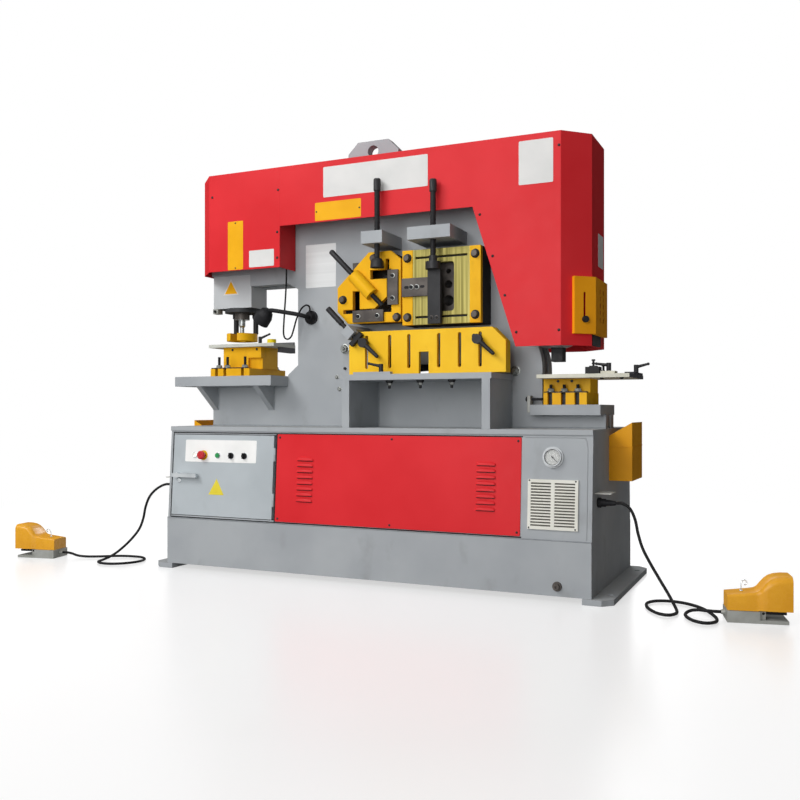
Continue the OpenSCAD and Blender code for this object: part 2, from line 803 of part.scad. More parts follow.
beam_hole_a = [angle_x + 14, angle_x + angle_size - 38, block_z + 34, block_z + angle_size - 26];
beam_hole_s = [section_x + 155, section_x + 250, section_z + 52, section_z + section_h - 56];
beam_low = shear_z + 100;
module shear_beam() {
    nose_z = base_h + 349;
    color(steel_grey) difference() {
        along_y(-beam_t / 2, beam_t / 2) polygon([[beam_pin_x - 95, beam_pin_z - 60],
            [beam_pin_x - 95, beam_pin_z + 70], [beam_pin_x + 60, block_z + angle_size + 40],
            [rod_x - 190, block_z + angle_size + 40], [rod_x - 96, beam_shoulder],
            [rod_x + 70, beam_shoulder], [rod_x + 70, nose_z + 30],
            [notch_cx + notch_half + 4, nose_z], [notch_x - 60, nose_z],
            [box_x1 - 30, beam_low], [beam_pin_x + 120, beam_low]]);
        translate([beam_pin_x, 0, beam_pin_z]) rotate([90, 0, 0])
            cylinder(r = beam_pin_r + run_clear, h = 2 * beam_t, center = true);
        slab([beam_hole_a[0], -beam_t, beam_hole_a[2]], [beam_hole_a[1], beam_t, beam_hole_a[3]]);
        slab([beam_hole_s[0], -beam_t, beam_hole_s[2]], [beam_hole_s[1], beam_t, beam_hole_s[3]]);
    }
}

// Opening for an angle bar: two legs that meet at a square lower right corner
module angle_opening(grow) {
    x = angle_x;
    z = block_z;
    legs = [[168, 273, 196, 238], [244, 262, 238, 284], [250, 273, 45, 238], [30, 273, 45, 64],
        [78, 114, 64, 147]];
    for (leg = legs) translate([x + leg[0] - grow, z + leg[2] - grow])
        square([leg[1] - leg[0] + 2 * grow, leg[3] - leg[2] + 2 * grow]);
    polygon([[x + 251, z + 115], [x + 251, z + 63], [x + 188, z + 63]]);
}

bar_holes = [[0.24, 24], [0.56, 18], [0.82, 11]];
module bar_blade_face(holes_grow) {
    h = beam_hole_s;
    cx = (h[0] + h[1]) / 2;
    difference() {
        translate([h[0], h[2]]) square([h[1] - h[0], h[3] - h[2]]);
        for (b = bar_holes) translate([cx, h[2] + b[0] * (h[3] - h[2])]) circle(r = b[1] + holes_grow);
    }
}

module moving_blades() {
    front = -beam_t / 2;
    color("#5a5c5e") {
        along_y(front, front + 24) difference() {
            translate([beam_hole_a[0], beam_hole_a[2]])
                square([beam_hole_a[1] - beam_hole_a[0], beam_hole_a[3] - beam_hole_a[2]]);
            angle_opening(2);
        }
        along_y(front, front + 24) bar_blade_face(1);
        along_y(front, front + 24) polygon([[flat_x0 + 10, shear_z + 16],
            [flat_x1 - 6, shear_z + 47], [flat_x1 - 6, beam_low], [flat_x0 + 10, beam_low]]);
        slab([notch_cx - notch_half, front, base_h + 288], [notch_cx + notch_half, -front, base_h + 349]);
    }
}

module beam_pin() {
    color(bright_steel) translate([beam_pin_x, 0, beam_pin_z]) rotate([90, 0, 0])
        cylinder(r = beam_pin_r, h = 2 * y_in + plate_t - 2, center = true);
}

// Yellow face plates: the angle shear's with the slanting spindle's boss
corner_c = [angle_x + 139, y_plate - 17, block_z + 170];
corner_r = 11;
module on_corner() {
    translate(corner_c) rotate([0, 45, 0]) children();
}

module angle_outline(inset) {
    a = angle_size;
    x = angle_x;
    z = block_z;
    polygon([[x + 54, z + inset], [x + a - inset, z + inset], [x + a - inset, z + a - 40],
        [x + a - 49, z + a - inset], [x + a * 0.5, z + a - inset], [x + inset, z + a * 0.52],
        [x + inset, z + 57]]);
}

module shear_plates() {
    angle_plate();
    section_strips();
}

module angle_plate() {
    boss = 31;
    long = 132;
    color(machine_yellow) difference() {
        union() {
            along_y(y_plate, y_block) difference() {
                angle_outline(0);
                angle_opening(0);
            }
            difference() {
                on_corner() rotate([0, 90, 0]) cylinder(r = boss, h = long, center = true);
                slab([angle_x, y_plate, block_z], [angle_x + angle_size, 0, block_z + angle_size]);
            }
        }
        on_corner() rotate([0, 90, 0]) cylinder(r = corner_r + run_clear, h = long + 2, center = true);
    }
}

// Yellow strips at both sides of the bar shear
module section_strips() {
    color(machine_yellow) for (x = [section_x, section_x + section_w - strip_w])
        slab([x, y_plate, section_z], [x + strip_w, y_block, section_z + section_h]);
}

// Dark blocks that carry the face plates in front of the body
module blade_carriers() {
    inset = 6;
    color(tool_black) {
        difference() {
            along_y(y_block, -y_face) angle_outline(inset);
            translate([angle_x, 0, block_z]) along_y(y_block - 1, 0) polygon([[22, 140], [22, 36],
                [angle_size - 40, 36], [angle_size - 40, angle_size - 30], [178, angle_size - 30]]);
        }
        difference() {
            slab([section_x, y_block, section_z],
                [section_x + section_w, -y_face, section_z + section_h]);
            slab([section_x + 156, y_block - 1, section_z + 53],
                [section_x + 249, 0, section_z + section_h - 57]);
        }
    }
}

// Blade bars on the angle plate, both fixed blades behind and the bar shear's guide plate
module blade_bars() {
    x = angle_x;
    z = block_z;
    bar_t = 12;
    blade_y = -beam_t / 2 - 0.5;
    color("#4a4a4c") {
        slab([x + 259, y_plate - bar_t, z + 76], [x + 309, y_plate, z + 232]);
        slab([x + 83, y_plate - bar_t, z + 4], [x + 237, y_plate, z + 57]);
        intersection() {
            along_y(y_block + 20, blade_y) bar_blade_face(0);
            slab([section_x + 156, y_block, section_z + 53],
                [section_x + 249, 0, section_z + section_h - 57]);
        }
        along_y(-y_face, blade_y) difference() {
            translate([x + 8, z + 28]) square([angle_size - 39, angle_size - 47]);
            angle_opening(0);
        }
        slab([section_x + 2, y_plate - bar_t, section_z + 125], [section_x + 126, y_plate, section_z + 206]);
    }
}

// Machined plate between the strips, with the bar window and two adjusting slots
module section_plate() {
    x0 = section_x + strip_w;
    x1 = section_x + section_w - strip_w;
    r = 14;
    win = [section_x + 150, section_x + 245, section_z + 55, section_z + section_h - 60];
    color(zinc_gold) along_y(y_plate + 2, y_block) difference() {
        translate([x0, section_z]) square([x1 - x0, section_h]);
        translate([win[0], win[2] + r]) square([win[1] - win[0], win[3] - win[2] - 2 * r]);
        translate([win[0] + r, win[2]]) square([win[1] - win[0] - 2 * r, win[3] - win[2]]);
        for (x = [win[0] + r, win[1] - r]) for (z = [win[2] + r, win[3] - r]) translate([x, z]) circle(r = r);
        for (z = [section_z + 33, section_z + section_h - 36]) translate([x0 + 12, z - 5])
            square([x1 - x0 - 24, 10]);
    }
}

// Flat shear: box with its table, guard posts and studs
fence_stud = [box_x0 + 170, -y_face - box_depth + 43];
fence_t = 12;
module shear_box() {
    front = -y_face - box_depth;
    under = shear_z - shear_t;
    color(steel_grey) {
        slab([box_x0, front, base_h], [box_x0 + box_wall, -y_face, under]);
        slab([box_x1 - box_wall, front, base_h], [box_x1, -y_face, under]);
        slab([box_x0 - 8, front, under], [box_x1 + 6, -y_face, shear_z]);
        slab([box_x0 + 40, fence_stud[1] - 13, shear_z],
            [box_x0 + 220, fence_stud[1] + 12, shear_z + fence_t]);
        translate([fence_stud[0], fence_stud[1], shear_z + fence_t]) cylinder(r = 5, h = 28);
        for (x = stud_x) {
            slab([x - 18, guard_y + guard_deep + 6, shear_z],
                [x + 18, -y_face, guard_z + guard_h - 12]);
            translate([x, guard_y + guard_deep + 6, stud_z]) rotate([90, 0, 0])
                cylinder(r = stud_r, h = guard_deep + 6 + hub_gap + 4);
        }
    }
}

// Guard over the flat shear, a shallow casting with slots that slides on the studs
module flat_guard() {
    x0 = guard_x;
    x1 = guard_x + guard_w;
    z1 = guard_z + guard_h;
    wall = 14;
    slots = [88, 202, 295, 436, 532, guard_w - 114];
    slot_r = stud_r + 1;
    color(machine_yellow) difference() {
        along_y(guard_y, guard_y + guard_deep) polygon([[x0, guard_z], [x1, guard_z], [x1, z1 - 60],
            [x1 - 60, z1], [x0 + 50, z1], [x0, z1 - 58]]);
        slab([x0 + wall, guard_y + guard_t, guard_z - 1], [x1 - wall, guard_y + guard_deep + 1, z1 - 62]);
        slab([x0 + 50 + wall, guard_y + guard_t, z1 - 70],
            [x1 - 60 - wall, guard_y + guard_deep + 1, z1 - wall]);
        for (s = slots) {
            slab([x0 + s - slot_r, guard_y - 1, guard_z + 32],
                [x0 + s + slot_r, guard_y + guard_t + 1, z1 - 26]);
            for (z = [guard_z + 32, z1 - 26]) translate([x0 + s, guard_y - 1, z]) rotate([-90, 0, 0])
                cylinder(r = slot_r, h = guard_t + 2);
        }
        slab([x0 + 343, guard_y - 1, guard_z - 1], [x0 + 389, guard_y + guard_t + 1, guard_z + 95]);
    }
}

// Lever of the guard's clamp: hub on the stud, long handle and a short stub
module guard_lever(x) {
    hub = 21;
    tall = 22;
    reach = 92;
    color(tool_black) translate([x, guard_y - hub_gap + 10, stud_z]) rotate([90, 0, 0]) difference() {
        union() {
            cylinder(r = hub, h = tall);
            translate([0, 0, -24 + play]) cylinder(r = 12, h = 24);
            translate([0, 0, tall / 2]) rotate([0, 90, -42]) {
                cylinder(r1 = 11, r2 = 8, h = reach);
                translate([0, 0, reach]) sphere(r = 8);
            }
            translate([0, 0, tall / 2]) rotate([0, 90, 138]) cylinder(r = 8, h = 26);
        }
        translate([0, 0, -26]) cylinder(r = stud_r + run_clear, h = tall + 20);
    }
}

module guard_lever_left() {
    guard_lever(stud_x[0]);
}

module guard_lever_right() {
    guard_lever(stud_x[1]);
}

module fence_lever() {
    color(tool_black) translate([fence_stud[0], fence_stud[1], shear_z + fence_t + play])
        rotate([0, 0, 180]) clamp_lever(5, 10, 34, 60, 12);
}

// Hold-downs: a foot that slides and a spindle that turns in it
foot_z = block_z + 239;
module angle_foot() {
    color(tool_black) translate([angle_spindle_x, spindle_y, foot_z]) difference() {
        union() {
            cylinder(r1 = 31, r2 = 29, h = 26);
            translate([0, 0, 26]) cylinder(r1 = 29, r2 = 20, h = 14);
        }
        translate([0, 0, 20]) cylinder(r = spindle_r + run_clear, h = 30);
    }
}

module spindle(x, low, high) {
    grip = 54;
    color(tool_black) translate([x, spindle_y, 0]) {
        translate([0, 0, low + play]) cylinder(r = spindle_r, h = high - low - grip - play);
        translate([0, 0, high - grip]) cylinder(r = spindle_r + 3, h = grip - 4);
        translate([0, 0, high - 4]) cylinder(r1 = spindle_r + 3, r2 = spindle_r, h = 4);
    }
}

module angle_spindle() {
    spindle(angle_spindle_x, foot_z + 20, block_z + 635);
}

bar_z = section_z - 1;
bar_h = 234;
module section_foot() {
    wide = 59;
    thick = 22;
    collar = 32;
    color(tool_black) {
        slab([section_spindle_x - wide / 2, spindle_y + 9, bar_z],
            [section_spindle_x + wide / 2, spindle_y + 9 + thick, bar_z + bar_h]);
        translate([section_spindle_x, spindle_y, bar_z + bar_h]) difference() {
            cylinder(r = 33, h = collar);
            translate([0, 0, 8]) cylinder(r = spindle_r + run_clear, h = collar);
        }
    }
}

module section_spindle() {
    low = bar_z + bar_h + 8;
    spindle(section_spindle_x, low, block_z + 605);
    color(tool_black) translate([section_spindle_x, spindle_y, bar_z + bar_h + 32 + play])
        cylinder(r = spindle_r + 5, h = 26);
}

// Slanting spindles that move along their own axes
module corner_spindle() {
    color(tool_black) on_corner() rotate([0, 90, 0]) {
        translate([0, 0, -80]) cylinder(r = corner_r, h = 220);
        translate([0, 0, -232]) cylinder(r = corner_r + 1.5, h = 156);
    }
}

module guard_spindle() {
    color(tool_black) on_guard_spindle() {
        rotate([0, 90, 0]) translate([0, 0, -60]) cylinder(r = guard_spindle_r, h = 96);
        rotate([0, 90, 0]) translate([0, 0, -160]) cylinder(r = guard_spindle_r + 3, h = 100);
        slab([34, -11, -36], [54, 11, 36]);
    }
}

// Notch station: die, work plate with stops and two clamp levers
module notch_die() {
    half = 115;
    block = 75;
    slot_w = 20;
    hole = [notch_cx - notch_half - 10, notch_cx + notch_half + 3];
    color(machine_yellow) difference() {
        union() {
            slab([notch_x + 14, -half, rtab_z], [notch_x + 200, half, notch_die_z]);
            slab([notch_x + 4, -block, notch_die_z], [notch_x + 206, block, notch_work_z]);
            slab([hole[0] - 5, -y_in - 8, notch_work_z], [hole[1] + 5, y_in + 8, notch_work_z + work_t]);
        }
        slab([hole[0], -y_in, rtab_z - 1], [hole[1], y_in, notch_work_z + work_t + 1]);
        for (x = [42, 100, 158]) for (side = [-1, 1])
            slab([notch_x + x - slot_w / 2, side > 0 ? block + 4 : -half - 1, rtab_z - 1],
                [notch_x + x + slot_w / 2, side > 0 ? half + 1 : -block - 4, notch_die_z + 1]);
    }
}

inner_lever = [notch_x + 290, -110];
outer_lever = [notch_x + 372, 60];
module notch_table() {
    z0 = notch_work_z;
    z1 = z0 + work_t;
    hole = [notch_cx - notch_half - 16, notch_cx + notch_half + 9];
    color(bright_steel) {
        difference() {
            slab([notch_x + 2, -180, z0], [notch_x + 387, 150, z1]);
            slab([hole[0], -y_in - 9, z0 - 1], [hole[1], y_in + 9, z1 + 1]);
        }
        slab([notch_x + 180, -60, z1], [notch_x + 240, -10, z1 + 34]);
        slab([notch_x + 262, -140, z1], [notch_x + 320, -80, z1 + 12]);
        slab([notch_x + 345, -60, z1], [notch_x + 385, 150, z1 + 10]);
        translate([inner_lever[0], inner_lever[1], z1 + 12]) cylinder(r = 5, h = 28);
        translate([outer_lever[0], outer_lever[1], z1 + 10]) cylinder(r = 5, h = 28);
    }
}

module notch_lever_inner() {
    color(tool_black) translate([inner_lever[0], inner_lever[1], notch_work_z + work_t + 12 + play])
        rotate([0, 0, 180]) clamp_lever(5, 10, 34, 52, 8);
}

module notch_lever_outer() {
    color(tool_black) translate([outer_lever[0], outer_lever[1], notch_work_z + work_t + 10 + play])
        clamp_lever(5, 10, 34, 52, 14);
}

// Slug trays of folded sheet on both ends of the base
module tray() {
    wide = 95;
    skin = 3;
    x0 = base_len / 2;
    y0 = -80;
    y1 = 160;
    z0 = base_h - 217;
    low_rim = base_h - 30;
    high_rim = base_h + 26;
    difference() {
        along_y(y0, y1) polygon([[x0, z0], [x0 + wide, z0], [x0 + wide, high_rim], [x0, low_rim]]);
        slab([x0 + skin, y0 + skin, z0 + skin], [x0 + wide - skin, y1 - skin, high_rim + 1]);
    }
}

module trays() {
    color(tray_yellow) for (side = [0, 1]) mirror([side, 0, 0]) tray();
}

// Work lamp on the body: rosette, gooseneck and round shade
lamp_at = [-throat_x + 77, -y_face, base_h + 524];
neck = [[0, -32, 0], [0, -55, 0], [-12, -72, 5], [-42, -86, 12], [-87, -98, 20], [-132, -107, 28],
    [-162, -111, 32], [-181, -112, 27]];
module work_lamp() {
    color(tool_black) {
        translate(lamp_at) rotate([90, 0, 0]) {
            cylinder(r = 33, h = 12);
            translate([0, 0, 12]) cylinder(r1 = 28, r2 = 18, h = 20);
        }
        translate(lamp_at + [0, -20, 15]) cylinder(r = 7, h = 17);
        tube([for (p = neck) p + lamp_at], 9, 8);
        translate(lamp_at + neck[7]) rotate([0, -138, -6])
            rotate_extrude() polygon([[0, -12], [16, -12], [30, 0], [40, 24], [42, 66], [39, 66], [37, 26],
                [27, 4], [14, -8], [0, -8]]);
    }
}

// Places of the two foot switches: x, y and turn
pedal_spots = [[-base_len / 2 - 795, -416, 191.4], [base_len / 2 + 585, -405, 12]];
pedal_cord_z = 24;
boss_len = 14;
// Last two points of a pedal's cord, straight into its rear boss
function pedal_end(i) = [for (back = [38, boss_len]) let (s = pedal_spots[i], d = 102.5 + back)
    [s[0] - d * cos(s[2]), s[1] - d * sin(s[2]), pedal_cord_z]];

// Routes of the loose cords, chosen by hand
lamp_points = [[-100, -70, 243], [-100, -70, 193], [-104, -70, 113], [-110, -70, 33], [-115, -70, -37],
    [-116, -70, -77], [-109, -69, -99], [-93, -66, -105], [-77, -62, -91], [-67, -57, -57], [-55, -50, -7],
    [-37, -40, 38], [-19, -28, 58], [-5, -21, 55], [0, -20, 43], [0, -20, 32]];
right_points = [[70, -300, 385], [96, -300, 385], [125, -300, 367], [145, -300, 325], [157, -302, 270],
    [175, -306, 215], [205, -312, 160], [240, -322, 105], [275, -340, 55], [301, -368, 20],
    [315, -405, 7], [317, -450, 7], [297, -487, 7], [261, -478, 7], [225, -430, 7], [200, -370, 7],
    [193, -310, 7], [213, -262, 7], [260, -240, 7], [317, -250, 7], [370, -290, 7], [410, -345, 7],
    [440, -410, 7], [461, -475, 7], [461, -530, 7], [431, -560, 7], [390, -540, 7], [361, -490, 7],
    [351, -450, 9], [363, -424, 16], [390, -424, 22], [419, -434, 24]];
left_points = [[-70, -300, 385], [-96, -300, 385], [-130, -300, 374], [-170, -300, 350], [-203, -301, 315],
    [-225, -302, 265], [-237, -304, 210], [-260, -308, 155], [-305, -318, 100], [-355, -338, 50],
    [-390, -368, 19], [-403, -410, 7], [-385, -458, 7], [-337, -486, 7], [-277, -478, 7],
    [-227, -432, 7], [-207, -368, 7], [-225, -308, 7], [-275, -268, 7], [-335, -262, 7],
    [-395, -280, 8], [-447, -312, 8], [-495, -345, 8], [-547, -368, 8], [-591, -382, 12], [-627, -386, 21]];
lamp_route = [for (p = lamp_points) p + lamp_at];
right_route = concat([for (p = right_points) p + [base_len / 2, 0, 0]], pedal_end(1));
left_route = concat([for (p = left_points) p - [base_len / 2, 0, 0]], pedal_end(0));
cord_r = 6;
lamp_cord_r = 4;

module lamp_cord() {
    color(tool_black) tube(lamp_route, lamp_cord_r, 8);
}

module left_pedal_cord() {
    color(tool_black) tube(left_route, cord_r, 8);
}

module right_pedal_cord() {
    color(tool_black) tube(right_route, cord_r, 8);
}

// Glands with a drip plate on each base end, and a clip for the lamp's cord inside the hood
module cable_glands() {
    out = 70;
    color(tool_black) {
        for (side = [0, 1]) mirror([side, 0, 0])
            slab([base_len / 2, -345, 422], [base_len / 2 + 62, -255, 426]);
        for (side = [-1, 1]) translate([side * base_len / 2, -300, 385]) rotate([0, side * 90, 0]) {
            cylinder(r = 20, h = 14, $fn = 6);
            translate([0, 0, 14]) cylinder(r = 16, h = 18);
            translate([0, 0, 32]) cylinder(r1 = 13, r2 = 9, h = out - 32);
        }
        slab([hood_xs - hood_t - 18, lamp_at[1] - 82, lamp_at[2] + 243],
            [hood_xs - hood_t, lamp_at[1] - 58, lamp_at[2] + 303]);
    }
}

// Foot switches
tread_pin = 5;
tread_z = 34;
tread_x = -pedal_len / 2 + 122;
module at_pedal(i) {
    translate([pedal_spots[i][0], pedal_spots[i][1], 0]) rotate([0, 0, pedal_spots[i][2]])
        translate([pedal_len / 2 - 102.5, 0, 0]) children();
}

module pedal_base() {
    x0 = -pedal_len / 2;
    x1 = pedal_len / 2;
    rear = 41;
    ear = pedal_w / 2 - 12;
    difference() {
        union() {
            slab([x0, -pedal_w / 2, 0], [tread_x - 12, pedal_w / 2, rear]);
            translate([x0 - boss_len, 0, pedal_cord_z]) rotate([0, 90, 0])
                cylinder(r1 = 8, r2 = 11, h = boss_len);
            slab([tread_x - 12, -pedal_w / 2, 0], [x1, pedal_w / 2, 12]);
            for (side = [-1, 1]) slab([tread_x - 12, side > 0 ? ear - 6 : -ear, 12],
                [tread_x + 8, side > 0 ? ear : -ear + 6, rear]);
        }
        translate([tread_x, 0, tread_z]) rotate([90, 0, 0])
            cylinder(r = tread_pin + run_clear, h = pedal_w, center = true);
    }
}

module pedal_bases() {
    color("#b5b6b2") for (i = [0, 1]) at_pedal(i) pedal_base();
}

function arc(cx, cz, r, from, to, n) = [for (i = [0 : n]) let (a = from + (to - from) * i / n)
    [cx + r * cos(a), cz + r * sin(a)]];

module guard_profile(inset) {
    x0 = tread_x - 14 + inset;
    x1 = pedal_len / 2 + 13;
    top = pedal_h - inset;
    r = 58 - inset;
    polygon(concat([[x1, 44 - inset * 0.1]], [[x1 + 2, top - 38], [x1 - 2, top]],
        arc(x0 + r, top - r, r, 90, 180, 6), [[x0, 44 - inset * 0.1]]));
}

module pedal_guard() {
    skin = 5;
    x0 = -pedal_len / 2;
    half = pedal_w / 2;
    difference() {
        along_y(-half, half) guard_profile(0);
        along_y(-half + skin, half - skin) guard_profile(skin);
        slab([pedal_len / 2 - 2, -half + skin, 40], [pedal_len / 2 + 20, half - skin, pedal_h - skin]);
        slab([tread_x, -half + skin, 40], [pedal_len / 2 + 14, half - skin, 60]);
    }
    along_y(-half + 3, half - 3)
        polygon([[x0 + 2, 41], [tread_x - 14, 41], [tread_x - 14, 112], [x0 + 4, 98]]);
}

module pedal_guards() {
    color(tray_yellow) for (i = [0, 1]) at_pedal(i) pedal_guard();
}

module tread() {
    half = pedal_w / 2 - 20;
    ear = pedal_w / 2 - 12;
    color(tool_black) {
        translate([tread_x, 0, tread_z]) rotate([90, 0, 0])
            cylinder(r = tread_pin, h = 2 * ear, center = true);
        difference() {
            slab([tread_x, -half, tread_z - 4], [pedal_len / 2 - 4, half, tread_z + 5]);
            for (i = [0 : 4]) slab([tread_x + 20 + i * 13, -half + 6, tread_z + 3],
                [tread_x + 26 + i * 13, half - 6, tread_z + 6]);
        }
    }
}

module left_tread() {
    at_pedal(0) tread();
}

module right_tread() {
    at_pedal(1) tread();
}

// Electrical door with folded edges, knuckles and control holes
module cabinet_door() {
    x0 = door_x0 + 3;
    x1 = door_x1 - hinge_gap;
    s0 = door_s0 + 3;
    s1 = door_s1 - 3;
    fold = 20;
    color("#a9afb3") on_front() {
        difference() {
            slab([x0, 0, s0], [x1, fold, s1]);
            slab([x0 + sheet_t, sheet_t, s0 + sheet_t], [x1 - sheet_t, fold + 1, s1 - sheet_t]);
            for (x = control_x) translate([x, 0, control_s]) front_bar(control_r, -1, sheet_t + 1);
            translate([handle_x, 0, handle_s]) front_bar(8, -1, sheet_t + 1);
        }
        for (s = [door_s0 + 60, door_s1 - 120]) translate([hinge_x, 0, s + hinge_len + play]) {
            cylinder(r = hinge_r, h = hinge_len);
            slab([-hinge_gap / 2 - 1, 1, 0], [0, hinge_r - 2, hinge_len]);
        }
    }
}

module door_handle() {
    color(bright_steel) on_front(handle_x, handle_s) {
        front_bar(8 - run_clear, -8, 26);
        front_bar(13, -20, -play);
        translate([0, -22, 0]) slab([-20, -10, -9], [120, 8, 9]);
        slab([-9, 22, -9], [9, 26, 30]);
    }
}

module estop_button() {
    color("#c8202a") on_front(control_x[0], control_s) {
        front_bar(control_r - run_clear, -14, 24);
        translate([0, -14, 0]) rotate([90, 0, 0]) rotate_extrude()
            polygon([[0, 0], [15, 0], [20, 4], [20, 11], [16, 16], [0, 17]]);
    }
}

module start_button() {
    color("#2f9e58") on_front(control_x[1], control_s) front_bar(control_r - run_clear, -9, 22);
}

module selector(x) {
    color(tool_black) on_front(x, control_s) {
        front_bar(control_r - run_clear, -2, 22);
        front_bar(14, -8, -play);
        slab([-3.5, -20, -13], [3.5, -8, 13]);
    }
}

module selector_left() {
    selector(control_x[2]);
}

module selector_right() {
    selector(control_x[3]);
}

base_cabinet();
front_panel();
vent_grille();
gauge_case();
gauge_pointer();
electrical_plate();
hydraulic_unit();
body_front_plate();
body_rear_plate();
left_hood();
main_hood();
limit_switch_cover();
limit_knob();
punch_housing();
punch_ram();
die_tables();
die_holder();
punch_table();
punch_lever();
stripper();
shear_cylinder();
shear_rod();
shear_beam();
moving_blades();
body_ties();
shear_plates();
blade_carriers();
blade_bars();
section_plate();
shear_box();
notch_die();
notch_table();
notch_lever_inner();
notch_lever_outer();
trays();
work_lamp();
lamp_cord();
cable_glands();
pedal_bases();
pedal_guards();
left_tread();
right_tread();
left_pedal_cord();
right_pedal_cord();
cabinet_door();
door_handle();
estop_button();
start_button();
selector_left();
selector_right();
angle_foot();
angle_spindle();
section_foot();
section_spindle();
corner_spindle();
guard_spindle();
flat_guard();
guard_lever_left();
guard_lever_right();
fence_lever();
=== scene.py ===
import math

import bpy
import numpy as np
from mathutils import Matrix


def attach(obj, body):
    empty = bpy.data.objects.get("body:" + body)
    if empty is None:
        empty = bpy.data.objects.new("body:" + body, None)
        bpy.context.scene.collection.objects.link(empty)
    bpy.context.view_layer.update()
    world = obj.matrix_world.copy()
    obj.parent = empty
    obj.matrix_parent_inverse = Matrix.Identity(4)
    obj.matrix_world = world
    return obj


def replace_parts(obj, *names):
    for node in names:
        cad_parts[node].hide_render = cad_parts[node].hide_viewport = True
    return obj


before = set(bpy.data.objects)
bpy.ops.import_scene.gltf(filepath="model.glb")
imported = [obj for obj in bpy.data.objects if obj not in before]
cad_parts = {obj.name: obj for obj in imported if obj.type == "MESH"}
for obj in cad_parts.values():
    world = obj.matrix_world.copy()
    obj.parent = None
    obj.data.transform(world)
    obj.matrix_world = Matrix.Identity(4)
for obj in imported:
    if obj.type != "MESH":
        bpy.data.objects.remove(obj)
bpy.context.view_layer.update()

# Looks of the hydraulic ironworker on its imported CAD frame. Blender's lengths are metres. Sizes and places
# in this script are the drawing's millimetres, which MM turns into metres.
MM = 0.001
TAU = 2 * math.pi


# Materials

def linear(code):
    """An sRGB hex colour as linear red, green, blue and alpha."""
    c = [int(code[i:i + 2], 16) / 255 for i in (1, 3, 5)]
    return [v / 12.92 if v <= 0.04045 else ((v + 0.055) / 1.055) ** 2.4 for v in c] + [1.0]


def add_node(tree, kind, links=None, **settings):
    """Adds one shader node with its settings, and sets or links its input sockets by name or number."""
    made = tree.nodes.new("ShaderNode" + kind)
    for key, value in settings.items():
        setattr(made, key, value)
    for key, value in (links or {}).items():
        if isinstance(value, bpy.types.NodeSocket):
            tree.links.new(value, made.inputs[key])
        else:
            made.inputs[key].default_value = value
    return made


def empty_material(name):
    """A new material and its node tree, with nothing in it."""
    made = bpy.data.materials.new(name)
    made.use_nodes = True
    made.node_tree.nodes.clear()
    return made, made.node_tree


